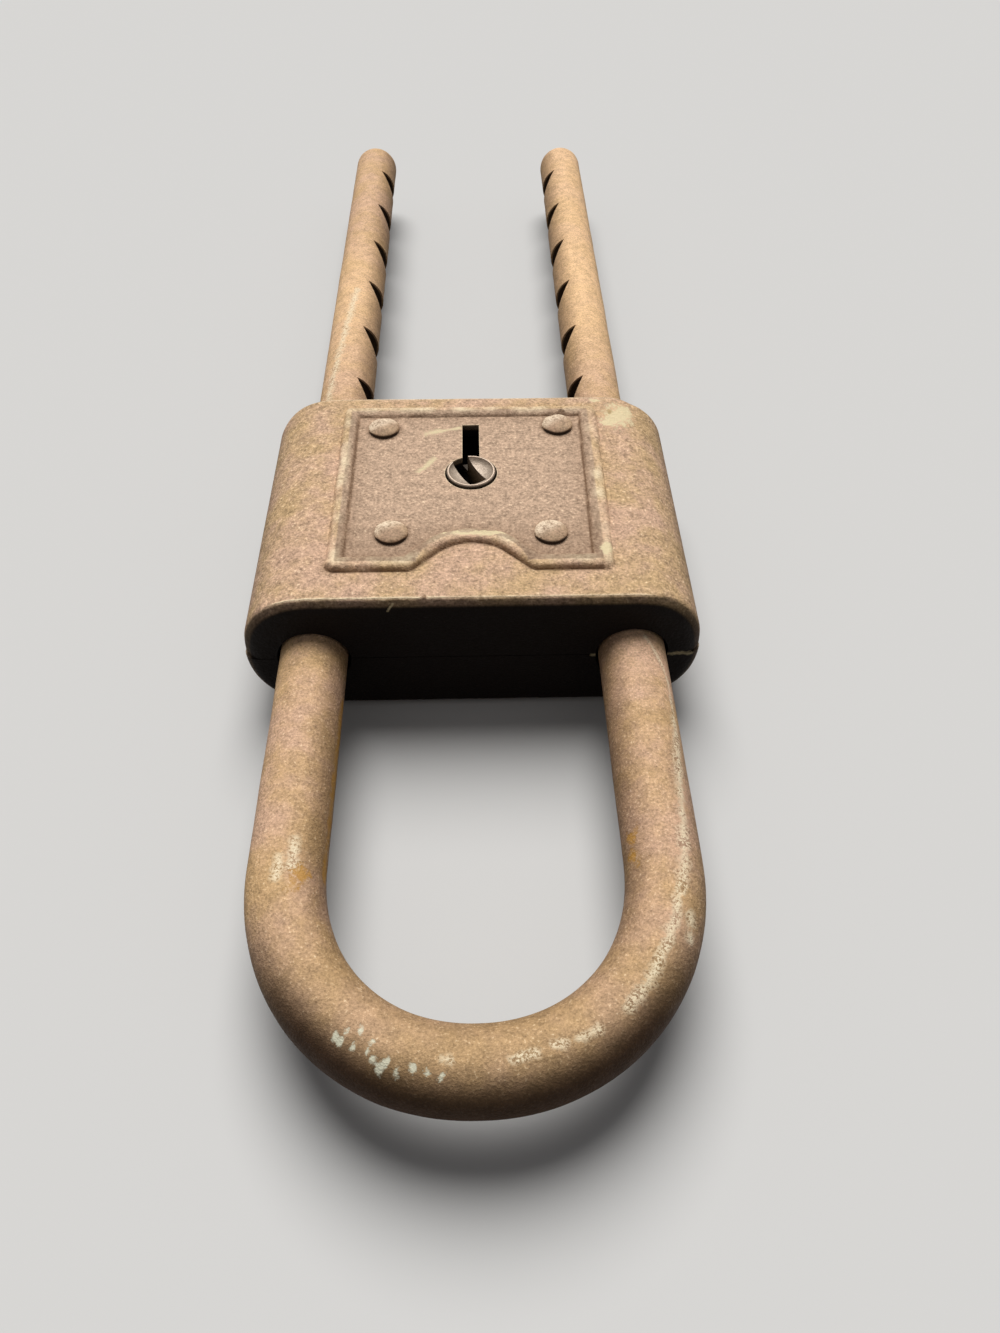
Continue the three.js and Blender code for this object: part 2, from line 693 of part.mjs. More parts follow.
function springBlock() {
  const [x, y] = blockAt;
  const z = [partitionZ[1] + snug, leverZ[2][1] + blockOverLevers];
  const whole = box([x, x + blockSize[0]], [y, y + blockSize[1]], z);
  const middle = y + blockSize[1] / 2;
  const slit = box(
    [x + rooted + snug, x + blockSize[0] + past],
    [middle - leafSlit / 2, middle + leafSlit / 2],
    [z[0] + rooted, z[1] + past],
  );
  return whole.subtract(slit);
}

// A leaf spring, from its block to the back of the lever it presses on
function leafSpring(span) {
  const startX = blockAt[0] + 0.9;
  const startY = blockAt[1] + blockSize[1] / 2;
  const tipY = keySide + 3.5 + leafThickness / 2 + dogFit;
  const line = new THREE.SplineCurve(
    [[startX, startY], [startX + 3, startY], [-6, startY + 0.25], [-1.5, tipY + 0.12], [1, tipY]].map(
      ([x, y]) => new THREE.Vector2(x, y),
    ),
  );
  return plate(stripOutline(line.getPoints(16), leafThickness), span);
}

// Bent round its post, with an arm along the inner side of each dog's lug
function hairpinSpring() {
  const [cx, cy] = hairpinPost;
  const loop = hairpinPostRadius + hairpinFit + hairpinThickness / 2;
  const armX = dogLug[0] - hairpinThickness / 2 - plateGap;
  const tipY = keyholeY - hairpinArmDrop;
  const footY = tipY - hairpinArmLength;
  const points = [new THREE.Vector2(-armX, tipY), new THREE.Vector2(-armX, footY)];
  const steps = 16;
  for (let i = 0; i <= steps; i++) {
    const angle = Math.PI * (0.93 + (1.14 * i) / steps);
    points.push(new THREE.Vector2(cx + loop * Math.cos(angle), cy + loop * Math.sin(angle)));
  }
  points.push(new THREE.Vector2(armX, footY), new THREE.Vector2(armX, tipY));
  const levels = [dogZ[0] + hairpinSideGap, dogZ[1] - hairpinSideGap];
  return plate(stripOutline(points, hairpinThickness), levels);
}

function springPost() {
  const foot = wall + snug / 2;
  const shoulder = partitionZ[0] - plateGap;
  return turnedForm(
    [[0, foot], [hairpinPostRadius, foot], [hairpinPostRadius, shoulder], [hairpinSpigotRadius, shoulder],
      [hairpinSpigotRadius, partitionZ[1]], [0, partitionZ[1]]],
    hairpinPost,
  );
}

const padlock = new THREE.Group();
padlock.add(piece("front_shell", frontShell(), rust));
padlock.add(piece("back_shell", backShell(), rust));
for (const [name, place] of Object.entries(rivetPlaces)) padlock.add(piece(name, rivet(place), rivetIron));
padlock.add(piece("shackle", shackle(), rod));
padlock.add(piece("key_drum", turnAboutDrum(keyDrum(), turned), drumMetal));
padlock.add(piece("cam_plate", turnAboutDrum(camPlate(), turned / 2), dogMetal));
padlock.add(piece("drum_bush", drumBush(), leverBrass));
padlock.add(piece("left_dog", leftDog(), dogMetal));
padlock.add(piece("right_dog", rightDog(), dogMetal));
padlock.add(piece("partition_plate", partitionPlate(), leverBrass));
padlock.add(piece("lever_bush", leverBush(), leverBrass));
["rear", "middle", "front"].forEach((where, level) => {
  padlock.add(piece(where + "_lever", lever(leverZ[level]), leverBrass));
  padlock.add(piece(where + "_lever_spring", leafSpring(leverZ[level]), springSteel));
});
padlock.add(piece("lever_spring_block", springBlock(), leverBrass));
padlock.add(piece("dog_spring", hairpinSpring(), springSteel));
padlock.add(piece("dog_spring_post", springPost(), dogMetal));

export default padlock;
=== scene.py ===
import math

import bmesh
import bpy
import numpy as np
from mathutils import Matrix, Vector, kdtree, noise


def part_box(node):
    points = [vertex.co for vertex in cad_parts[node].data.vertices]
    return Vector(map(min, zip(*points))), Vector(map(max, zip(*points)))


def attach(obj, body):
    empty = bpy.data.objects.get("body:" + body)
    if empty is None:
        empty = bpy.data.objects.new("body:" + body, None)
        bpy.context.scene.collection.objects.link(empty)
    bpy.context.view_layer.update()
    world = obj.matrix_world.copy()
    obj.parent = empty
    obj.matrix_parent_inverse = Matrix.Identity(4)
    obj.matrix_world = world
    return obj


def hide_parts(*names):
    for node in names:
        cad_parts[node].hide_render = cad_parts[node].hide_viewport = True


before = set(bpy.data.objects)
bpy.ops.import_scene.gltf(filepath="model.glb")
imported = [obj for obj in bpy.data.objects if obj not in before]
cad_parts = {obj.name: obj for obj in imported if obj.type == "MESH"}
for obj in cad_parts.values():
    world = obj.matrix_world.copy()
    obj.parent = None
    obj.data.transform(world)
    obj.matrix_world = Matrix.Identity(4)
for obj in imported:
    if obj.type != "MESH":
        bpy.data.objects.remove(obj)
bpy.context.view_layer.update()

# Back shell: the rear tray of the case, cast in iron and browned all over, flat on its back.
# It meets the front shell in a thin seam half way up the case. The bosses for the rivets, the
# seat of the drum's bush and the two channels for the dogs are cast in one with it.
mm = 0.001


def box_mm(node):
    """A CAD node's lowest and highest corners in mm."""
    low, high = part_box(node)
    return np.array(low) / mm, np.array(high) / mm


shackle_low, shackle_high = box_mm("shackle")
case_half_width, case_half_height, _ = box_mm("back_shell")[1]
case_middle = (shackle_low[2] + shackle_high[2]) / 2
case_thickness = 2 * case_middle
seam_high = box_mm("front_shell")[0][2]
case_flat_half = case_half_width - case_middle
case_side_power = 2.25
case_wall = 1.8
skin_uneven = 0.03
rod_radius = case_middle - shackle_low[2]
leg_x = shackle_high[0] - rod_radius
leg_hole_clearance = 0.33
leg_hole_radius = rod_radius + leg_hole_clearance
rivet_names = ["far_left_rivet", "far_right_rivet", "near_left_rivet", "near_right_rivet"]
rivet_places = {name: sum(box_mm(name))[:2] / 2 for name in rivet_names}
rivet_radius = 1.6
rivet_fit = 0.15
rivet_hole_radius = rivet_radius + rivet_fit
rivet_tail_radius = 2.4
rivet_tail_depth = 1.0
boss_radius = 2.3
boss_root = 0.5
bush_low, bush_high = box_mm("drum_bush")
bush_radius = (bush_high[0] - bush_low[0]) / 2
bush_wall = 1.4
bush_proud = 0.2
drum_place = (bush_low + bush_high)[:2] / 2
partition_low, partition_high = box_mm("partition_plate")
dog_low, dog_high = box_mm("left_dog")
dog_lug = 2.0
dog_room = 0.3
dog_gap = 0.2
channel_rib = 1.4
channel_gap = 0.85
channel_length = 3.7
channel_outer = leg_x - leg_hole_radius - channel_gap
channel_inner = channel_outer - channel_length
snug = 0.1
past = 1.0


def lumps(points, size, shift):
    """Soft rise and fall, from -1 to 1, at points in mm. The lumps are about size mm across, and each
    shift gives another lot of them."""
    flat = np.asarray(points).reshape(-1, 3)
    offset = Vector((shift, 0.4 * shift, -0.7 * shift))
    found = np.array([noise.noise(Vector(p) / size + offset) for p in flat])
    return found.reshape(np.asarray(points).shape[:-1])


def eased(value):
    """0 below 0, 1 above 1, and a smooth rise between."""
    held = np.clip(value, 0, 1)
    return held * held * (3 - 2 * held)


def new_piece(name, points, faces):
    """A mesh object from points in mm, with its faces turned outwards."""
    mesh = bpy.data.meshes.new(name)
    mesh.from_pydata((np.asarray(points) * mm).tolist(), [], faces)
    made = bmesh.new()
    made.from_mesh(mesh)
    bmesh.ops.recalc_face_normals(made, faces=made.faces)
    made.to_mesh(mesh)
    made.free()
    piece = bpy.data.objects.new(name, mesh)
    bpy.context.scene.collection.objects.link(piece)
    return piece


def skin(name, rings):
    """A closed skin over a row of closed rings of points, with a flat cap on each end."""
    count, around = rings.shape[:2]
    faces = [list(range(around)), list(range((count - 1) * around, count * around))]
    for i in range(count - 1):
        for j in range(around):
            k = (j + 1) % around
            faces.append((i * around + j, i * around + k, (i + 1) * around + k, (i + 1) * around + j))
    return new_piece(name, rings.reshape(-1, 3), faces)


def turned_form(name, profile, place, sides=48):
    """A form turned about an upright axis, from (radius, level) pairs, with a flat cap on each end."""
    angles = np.arange(sides) * 2 * math.pi / sides
    rings = [
        [(place[0] + r * math.cos(a), place[1] + r * math.sin(a), z) for a in angles] for r, z in profile
    ]
    return skin(name, np.array(rings))


def round_bar(name, radius, place, levels):
    """A round bar standing between two levels."""
    return turned_form(name, [(radius, level) for level in levels], place)


def block(name, x, y, z):
    """A plain box between two places on each axis, as stock or as a cutter."""
    ring = [(x[0], y[0]), (x[1], y[0]), (x[1], y[1]), (x[0], y[1])]
    return skin(name, np.array([[(a, b, level) for a, b in ring] for level in z]))


def shape_with(piece, operation, tools):
    """Cuts the tools from the piece, or joins them to it, and clears the tools away."""
    for tool in tools:
        modifier = piece.modifiers.new("shape", "BOOLEAN")
        modifier.solver = "MANIFOLD"
        modifier.operation = operation
        modifier.object = tool
        shaped = piece.evaluated_get(bpy.context.evaluated_depsgraph_get())
        mesh = bpy.data.meshes.new_from_object(shaped)
        piece.modifiers.clear()
        piece.data = mesh
        bpy.data.objects.remove(tool)


def soften(piece, degrees=32):
    """Clears slivers that the cuts left, and shades the piece smooth, but for sharper edges than this."""
    sliver = 0.0005 * mm
    made = bmesh.new()
    made.from_mesh(piece.data)
    bmesh.ops.triangulate(made, faces=[face for face in made.faces if len(face.verts) > 4])
    bmesh.ops.dissolve_degenerate(made, dist=sliver, edges=made.edges[:])
    for face in made.faces:
        face.smooth = True
    for edge in made.edges:
        edge.smooth = edge.calc_face_angle(0) < math.radians(degrees)
    made.to_mesh(piece.data)
    made.free()


def case_quarter(steps):
    """The case's rounded side, evenly stepped from the seam to the flat, as shares of its reach."""
    angle = np.linspace(0, math.pi / 2, 2001)
    across = np.abs(np.cos(angle)) ** (2 / case_side_power)
    up = np.abs(np.sin(angle)) ** (2 / case_side_power)
    run = np.concatenate([[0], np.cumsum(np.hypot(np.diff(across), np.diff(up)))])
    at = np.linspace(0, run[-1], steps + 1)
    return np.interp(at, run, across), np.interp(at, run, up)


def case_rings(inset, steps, edge_radius, edge_steps, face_turn, side_turn, fades=(0.6, 0.6), caps=()):
    """The front half of the case's skin, ring by ring along Y, with rounded end edges.

    steps are those up a side, across the flat and along Y. The face turns down at once by face_turn
    degrees at its end edges, and by side_turn on the case's sides, before it rounds off to the end.
    fades say how far down the left and right sides the sharper turn is lost, and caps how far in
    from the rounded edge the extra rings on the flat ends lie.
    """
    side_steps, flat_steps, along_steps = steps
    across, up = case_quarter(side_steps)
    flat = np.linspace(1, -1, flat_steps + 1)[1:-1]
    middle = np.concatenate([np.ones(side_steps + 1), flat, -np.ones(side_steps + 1)]) * case_flat_half
    out = np.concatenate([across, 0 * flat, -across[::-1]])
    rise = np.concatenate([up, 1 + 0 * flat, up[::-1]])
    fade = np.where(middle < 0, *fades)
    crest = np.radians(side_turn + (face_turn - side_turn) * eased((rise - fade) / (1 - fade)))
    half_height = case_half_height - inset
    face_half = half_height - edge_radius * (1 - np.sin(crest))
    edge = [(half_height, edge_radius * np.cos(crest) + cap) for cap in sorted(caps, reverse=True)]
    for step in range(edge_steps, 0, -1):
        turn = crest + (math.pi / 2 - crest) * step / edge_steps
        edge_y = half_height - edge_radius * (1 - np.sin(turn))
        edge.append((edge_y, edge_radius * (np.cos(crest) - np.cos(turn))))
    near = [(-y, drop) for y, drop in edge]
    face = [(face_half * t, 0) for t in np.linspace(-1, 1, along_steps + 1)]
    rings = []
    for y, drop in near + face + edge[::-1]:
        reach = case_middle - inset - drop
        x = middle + reach * out
        z = case_middle + reach * rise
        z[0] = z[-1] = seam_high
        rings.append(np.stack([x, y + 0 * x, z], 1))
    return np.array(rings)


def to_back(points):
    """The same points on the other half of the case."""
    return points * (1, 1, -1) + (0, 0, case_thickness)


def case_room():
    """The rings of the room inside the front half of the case, running on past the seam."""
    rings = case_rings(case_wall, (16, 4, 1), edge_radius=0.01, edge_steps=1, face_turn=80, side_turn=80)
    rings[:, [0, -1], 2] = case_middle - past
    return rings


def leg_holes():
    """Cutters for the two holes that the shackle's legs slide through."""
    sides = 64
    angles = np.arange(sides) * 2 * math.pi / sides
    ends = (-case_half_height - past, case_half_height + past)
    cutters = []
    for side in (-1, 1):
        x = side * leg_x + leg_hole_radius * np.cos(angles)
        z = case_middle + leg_hole_radius * np.sin(angles)
        cutters.append(skin("leg_hole", np.array([np.stack([x, y + 0 * x, z], 1) for y in ends])))
    return cutters


def at_rivets(name, radius, levels, names=rivet_names):
    """A round bar at the place of each rivet."""
    return [round_bar(name, radius, rivet_places[rivet], levels) for rivet in names]


back_rings = case_rings(
    0, (30, 90, 96), edge_radius=1.6, edge_steps=7, face_turn=12, side_turn=12, caps=(0.5, 1.2, 1.9)
)
off_the_back = back_rings[:, 1:-1, 2] < case_thickness - snug
back_rings[:, 1:-1, 2] += skin_uneven * lumps(back_rings, 3.5, 11)[:, 1:-1] * off_the_back
back_shell = skin("back_tray", to_back(back_rings))
shape_with(back_shell, "DIFFERENCE", [skin("room", to_back(case_room()))])
back_stock = at_rivets("boss", boss_radius, (case_wall - boss_root, partition_low[2] - snug))
seat_levels = (case_wall - boss_root, bush_high[2] - bush_proud)
back_stock.append(round_bar("bush_seat", bush_radius + bush_wall, drum_place, seat_levels))
dog_edge = dog_low[1] + dog_lug
notch_wall = dog_high[1] + dog_room
dog_guides = []
for side in (-1, 1):
    rib_x = sorted((side * channel_inner, side * channel_outer))
    guide_x = (rib_x[0] - past, rib_x[1] + past)
    rib_y = (dog_edge - dog_room - channel_rib, notch_wall + channel_rib)
    guide_y = (dog_edge - dog_room, notch_wall)
    back_stock.append(block("channel", rib_x, rib_y, (case_wall - boss_root, dog_high[2])))
    dog_guides.append(block("guide", guide_x, guide_y, (dog_low[2] - dog_gap, dog_high[2] + past)))
shape_with(back_shell, "UNION", back_stock)
tail_mouth = rivet_tail_radius + rivet_fit
tail_seat = [(tail_mouth, -past), (tail_mouth, snug), (rivet_radius, rivet_tail_depth + rivet_fit)]
tail_seats = [turned_form("tail_seat", tail_seat, place) for place in rivet_places.values()]
bush_hole = round_bar("bush_hole", bush_radius + snug, drum_place, (case_wall, bush_high[2] + past))
rivet_holes = at_rivets("rivet_hole", rivet_hole_radius, (-past, case_thickness + past))
shape_with(back_shell, "DIFFERENCE", leg_holes() + rivet_holes + tail_seats + dog_guides + [bush_hole])
soften(back_shell)


def linear(red, green, blue):
    """A colour as seen on a screen, from 0 to 255, as the light that it stands for."""
    shares = [c / 255 for c in (red, green, blue)]
    light = [s / 12.92 if s <= 0.04045 else ((s + 0.055) / 1.055) ** 2.4 for s in shares]
    return (*light, 1)


def put(tree, kind, inputs, **options):
    """Adds a shader node. Each input is a value, or the output of another node that feeds it."""
    node = tree.nodes.new("ShaderNode" + kind)
    for name, value in options.items():
        setattr(node, name, value)
    for name, value in inputs.items():
        if isinstance(value, bpy.types.NodeSocket):
            tree.links.new(value, node.inputs[name])
        else:
            node.inputs[name].default_value = value
    return node


def math_of(tree, operation, *values, held=False):
    """A sum or other number work on values and outputs."""
    node = put(tree, "Math", dict(enumerate(values)), operation=operation, use_clamp=held)
    return node.outputs[0]


def times(tree, first, second, held=False):
    """One value or output times another."""
    return math_of(tree, "MULTIPLY", first, second, held=held)


def graded(tree, value, slope, start):
    """A strength that begins at start where the value is 0, and is more by slope where it is 1."""
    return math_of(tree, "MULTIPLY_ADD", value, slope, start)


def vector_of(tree, operation, *values):
    """The same work on vectors."""
    node = put(tree, "VectorMath", dict(enumerate(values)), operation=operation)
    return node.outputs["Value" if operation in ("LENGTH", "DOT_PRODUCT", "DISTANCE") else "Vector"]


def mix_of(tree, share, first, second):
    """Two colours mixed by a share from 0 to 1."""
    return put(tree, "Mix", {0: share, 6: first, 7: second}, data_type="RGBA").outputs[2]


def ramp_of(tree, value, low, high):
    """0 where the value is under low, 1 where it is over high, and a smooth rise between."""
    inputs = {"Value": value, "From Min": low, "From Max": high}
    return put(tree, "MapRange", inputs, interpolation_type="SMOOTHSTEP").outputs[0]


def group_of(name, inputs, outputs):
    """An empty effect with named inputs, each with a kind and a first value, and named outputs."""
    group = bpy.data.node_groups.new(name, "ShaderNodeTree")
    for label, kind, value in inputs:
        socket = group.interface.new_socket(name=label, in_out="INPUT", socket_type="NodeSocket" + kind)
        socket.default_value = value
    for label, kind in outputs:
        group.interface.new_socket(name=label, in_out="OUTPUT", socket_type="NodeSocket" + kind)
    given = group.nodes.new("NodeGroupInput").outputs
    results = group.nodes.new("NodeGroupOutput").inputs
    return group, given, results


def use(tree, group, **inputs):
    """Places an effect in a material with its own values."""
    node = tree.nodes.new("ShaderNodeGroup")
    node.node_tree = group
    for name, value in inputs.items():
        if isinstance(value, bpy.types.NodeSocket):
            tree.links.new(value, node.inputs[name])
        else:
            node.inputs[name].default_value = value
    return node.outputs


def scaled(tree, colour, light):
    """A colour made lighter or darker by a number that changes over the surface."""
    return put(tree, "VectorMath", {0: colour, "Scale": light}, operation="SCALE").outputs[0]


def grain_effect():
    """Fine light and dark grain over soft blotches, with pale specks and dark pits in it."""
    group, given, result = group_of(
        "grain",
        [
            ("Place", "Vector", (0, 0, 0)),
            ("Grain", "Float", 1), ("Fine", "Float", 0.4), ("Blotch", "Float", 9),
        ],
        [(label, "Float") for label in ("Grain", "Blotch", "Wander", "Speck", "Pit", "Height")],
    )
    sizes = {}
    for name, detail, roughness in (("Grain", 2, 0.5), ("Fine", 2, 0.75), ("Blotch", 4, 0.6)):
        inputs = {"Vector": given["Place"], "Detail": detail, "Roughness": roughness}
        inputs["Scale"] = math_of(group, "DIVIDE", 1, given[name])
        sizes[name] = put(group, "TexNoise", inputs).outputs[0]
    wide = times(group, ramp_of(group, sizes["Grain"], 0.28, 0.72), 0.35)
    both = graded(group, ramp_of(group, sizes["Fine"], 0.28, 0.72), 0.65, wide)
    ragged = graded(group, sizes["Fine"], 0.8, -1)
    group.links.new(both, result["Grain"])
    group.links.new(ramp_of(group, sizes["Blotch"], 0.33, 0.67), result["Blotch"])
    group.links.new(graded(group, sizes["Grain"], 1.2, ragged), result["Wander"])
    group.links.new(ramp_of(group, sizes["Fine"], 0.6, 0.76), result["Speck"])
    group.links.new(ramp_of(group, sizes["Fine"], 0.4, 0.24), result["Pit"])
    group.links.new(both, result["Height"])
    return group


def ragged_edge(group, given, result, distance):
    """Ends an effect with a mask that is full within a distance of 1, and has a ragged, soft edge."""
    ragged = graded(group, given["Wander"], given["Ragged"], distance)
    inside = math_of(group, "DIVIDE", math_of(group, "SUBTRACT", 1, ragged), given["Soft"], held=True)
    group.links.new(inside, result["Mask"])


def spot_effect():
    """A worn or stained spot, or a spot of painted shade: an ellipse at a place, with a ragged edge."""
    group, given, result = group_of(
        "spot",
        [
            ("Place", "Vector", (0, 0, 0)), ("Centre", "Vector", (0, 0, 0)), ("Half", "Vector", (1, 1, 1)),
            ("Turn", "Float", 0), ("Wander", "Float", 0), ("Ragged", "Float", 0.5), ("Soft", "Float", 0.3),
        ],
        [("Mask", "Float")],
    )
    from_centre = vector_of(group, "SUBTRACT", given["Place"], given["Centre"])
    inputs = {"Vector": from_centre, "Angle": given["Turn"]}
    squared = put(group, "VectorRotate", inputs, rotation_type="Z_AXIS").outputs[0]
    distance = vector_of(group, "LENGTH", vector_of(group, "DIVIDE", squared, given["Half"]))
    ragged_edge(group, given, result, distance)
    return group


def line_effect():
    """A scratch, a worn streak or a painted glint: a band along a straight line between two places."""
    group, given, result = group_of(
        "line",
        [
            ("Place", "Vector", (0, 0, 0)), ("Start", "Vector", (0, 0, 0)), ("End", "Vector", (1, 0, 0)),
            ("Width", "Float", 0.5),
            ("Wander", "Float", 0), ("Ragged", "Float", 0.5), ("Soft", "Float", 0.5),
        ],
        [("Mask", "Float")],
    )
    run = vector_of(group, "SUBTRACT", given["End"], given["Start"])
    from_start = vector_of(group, "SUBTRACT", given["Place"], given["Start"])
    along = math_of(
        group, "DIVIDE", vector_of(group, "DOT_PRODUCT", from_start, run),
        vector_of(group, "DOT_PRODUCT", run, run), held=True,
    )
    reached = put(group, "VectorMath", {0: run, "Scale": along}, operation="SCALE").outputs[0]
    distance = math_of(group, "DIVIDE", vector_of(group, "DISTANCE", from_start, reached), given["Width"])
    ragged_edge(group, given, result, distance)
    return group


grain = grain_effect()
spot = spot_effect()
line = line_effect()


def new_material(name):
    """An empty material, its node tree, and places over the piece in mm."""
    material = bpy.data.materials.new(name)
    material.use_nodes = True
    tree = material.node_tree
    tree.nodes.clear()
    place = put(tree, "TexCoord", {}).outputs["Object"]
    return material, tree, vector_of(tree, "MULTIPLY", place, (1 / mm, 1 / mm, 1 / mm))


def surface(tree, colour, roughness, height, bump, metallic=0.0, shine=0.4):
    """The shader at the end of a material, with a fine bump from the height."""
    raised = put(tree, "Bump", {"Height": height, "Strength": 1.0, "Distance": bump * mm})
    inputs = {"Base Color": colour, "Roughness": roughness, "Metallic": metallic}
    inputs.update({"Specular IOR Level": shine, "Normal": raised.outputs[0]})
    shader = put(tree, "BsdfPrincipled", inputs)
    tree.links.new(shader.outputs[0], put(tree, "OutputMaterial", {}).inputs[0])


def wear_on(piece, name, shares):
    """Stores a share from 0 to 1 for each point of a piece, of wear, dirt, painted light or painted shade.
    """
    found = piece.data.attributes.new(name, "FLOAT", "POINT")
    found.data.foreach_set("value", np.asarray(shares, np.float32))


def wear_of(tree, name):
    """The share of wear, dirt, painted light or painted shade that wear_on stored, for a material to read.
    """
    return put(tree, "Attribute", {}, attribute_name=name).outputs["Fac"]


def points_of(piece):
    """The points of a piece in mm."""
    found = np.zeros(len(piece.data.vertices) * 3)
    piece.data.vertices.foreach_get("co", found)
    return found.reshape(-1, 3) / mm


def dress(piece, material):
    """Gives the piece its one material."""
    piece.data.materials.clear()
    piece.data.materials.append(material)


rust_salmon = linear(211, 174, 146)
rust_tan = linear(203, 170, 127)
rust_panel = linear(202, 171, 144)
dirt_and_shade_brown = linear(104, 74, 48)
rust_pit = linear(138, 104, 74)
rust_rubbed = linear(250, 228, 190)
rust_and_shade_black = linear(13, 7, 4)
pale_wear_and_glint = linear(240, 222, 178)
rust_olive = linear(176, 146, 98)
pale_spots = [
    ((19.7, 14.9, 17.9), (2.0, 2.9, 3.0), 0.45), ((18.4, 13.4, 17.9), (0.9, 1.0, 3.0), 0.0),
    ((17.1, 18.4, 18.0), (0.9, 0.5, 2.0), 0.0), ((15.7, -11.9, 18.5), (0.6, 1.1, 1.0), 0.1),
    ((1.0, -9.1, 18.8), (4.6, 0.5, 0.6), 0.0),
]
seam_glint_level = seam_high - 0.1
scratches_and_seam_glint = [
    ((-5.9, 11.2, 18.0), (-4.0, 11.8, 18.0), 0.65), ((-4.0, 11.8, 18.0), (-1.5, 12.4, 18.0), 0.35),
    ((-6.6, 3.3, 18.0), (-4.6, 5.9, 18.0), 0.5), ((-9.5, -20.0, 16.8), (-8.9, -19.7, 17.6), 0.2),
    ((-5.9, -19.0, 18.1), (-5.2, -19.3, 17.9), 0.14), ((-5.2, -19.3, 17.9), (-5.0, -18.6, 18.1), 0.12),
    # Painted highlight: a thin pale glint along the seam's lip on the near end.
    ((14.0, -20.0, seam_glint_level), (26.7, -20.0, seam_glint_level), 0.34),
]


def depth_in_case(tree, x, z):
    """How deep a place lies under the case's rounded skin, in mm, seen along the case."""
    past_flat = math_of(tree, "SUBTRACT", math_of(tree, "ABSOLUTE", x), case_flat_half)
    out = math_of(tree, "POWER", math_of(tree, "MAXIMUM", past_flat, 0.0), case_side_power)
    rise = math_of(tree, "ABSOLUTE", math_of(tree, "SUBTRACT", z, case_middle))
    both = math_of(tree, "ADD", out, math_of(tree, "POWER", rise, case_side_power))
    return math_of(tree, "SUBTRACT", case_middle, math_of(tree, "POWER", both, 1 / case_side_power))


def case_iron():
    """Browned cast iron: grainy tan rust worn pale on its crests, dirt and painted shade by the bead and
    round the rivets, near-black rust and painted shade on its ends, painted shade low on its sides, and a
    painted highlight along the seam.
    """
    material, tree, place = new_material("browned_iron")
    mottle = use(tree, grain, Place=place, Grain=1.2, Fine=0.4, Blotch=7.0)
    wander = mottle["Wander"]
    x, y, z = put(tree, "SeparateXYZ", {0: place}).outputs
    colour = mix_of(tree, mottle["Blotch"], rust_salmon, rust_tan)
    colour = mix_of(tree, wear_of(tree, "panel"), colour, rust_panel)
    colour = mix_of(tree, times(tree, mottle["Pit"], 0.5), colour, rust_pit)
    colour = mix_of(tree, times(tree, mottle["Speck"], 0.6), colour, rust_rubbed)
    colour = scaled(tree, colour, graded(tree, mottle["Grain"], 0.9, 0.55))
    # Painted shade: the case grows darker lower down its sides, as if lit from above.
    colour = scaled(tree, colour, graded(tree, ramp_of(tree, z, 9.5, 17.5), 0.58, 0.42))
    pale_marks_and_glint = 0.0
    for centre, half, turn in pale_spots:
        found = use(tree, spot, Place=place, Centre=centre, Half=half, Turn=turn, Wander=wander,
                    Ragged=1.8, Soft=0.3)
        pale_marks_and_glint = math_of(tree, "MAXIMUM", pale_marks_and_glint, found["Mask"])
    for start, end, width in scratches_and_seam_glint:
        found = use(tree, line, Place=place, Start=start, End=end, Width=width, Wander=wander,
                    Ragged=1.8, Soft=0.9)
        pale_marks_and_glint = math_of(tree, "MAXIMUM", pale_marks_and_glint, times(tree, found["Mask"], 0.95))
    worn = graded(tree, mottle["Grain"], 1.2, 0.35)
    worn = times(tree, wear_of(tree, "wear_and_highlight"), worn, held=True)
    # Painted shade, with near-black rust: the end faces and a band just past each end's crest go near black,
    # a little less so at the far end.
    depth = depth_in_case(tree, x, z)
    shade_past_crest = times(tree, ramp_of(tree, depth, 0.06, 0.26), 0.74)
    end_rust_and_shade = math_of(tree, "MAXIMUM", ramp_of(tree, depth, 0.0, 1.0), shade_past_crest)
    far_end = ramp_of(tree, y, case_half_height - 2.5, case_half_height - 1.5)
    end_rust_and_shade = times(tree, end_rust_and_shade, graded(tree, far_end, -0.22, 1.0))
    colour = mix_of(tree, worn, colour, rust_rubbed)
    # Dirt and painted shade: a dark line at the bead's shaded foot, the panel's darker parts and rings round
    # the rivets.
    colour = mix_of(tree, wear_of(tree, "dirt_and_shade"), colour, dirt_and_shade_brown)
    colour = mix_of(tree, end_rust_and_shade, colour, rust_and_shade_black)
    # Worn pale patches and scratches, and a painted highlight along the seam.
    colour = mix_of(tree, times(tree, pale_marks_and_glint, 0.85), colour, pale_wear_and_glint)
    olive = use(tree, spot, Place=place, Centre=(18.8, 15.8, 18.0), Half=(0.5, 0.7, 1.0), Wander=wander,
                Ragged=1.6, Soft=0.6)["Mask"]
    colour = mix_of(tree, times(tree, olive, 0.8), colour, rust_olive)
    rough = graded(tree, mottle["Grain"], -0.14, 0.74)
    rough = graded(tree, worn, -0.2, rough)
    surface(tree, colour, rough, mottle["Height"], 0.075, shine=0.1)
    return material


browned_iron = case_iron()


crest_deep = 0.1
crest_half = 0.13
back_crest = 1.2


def crest_wear(points, crest):
    """How worn each point of a shell is, at the crest that runs round each of its ends."""
    x, _, z = np.abs(points - (0, 0, case_middle)).T
    out = np.maximum(x - case_flat_half, 0)
    depth = case_middle - (out**case_side_power + z**case_side_power) ** (1 / case_side_power)
    from_end = case_half_height - np.abs(points[:, 1])
    return np.exp(-((depth / crest_deep) ** 2) - ((from_end - crest) / crest_half) ** 2)


wear_on(back_shell, "wear_and_highlight", 0.4 * crest_wear(points_of(back_shell), back_crest))
dress(back_shell, browned_iron)
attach(back_shell, "case")
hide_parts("back_shell")

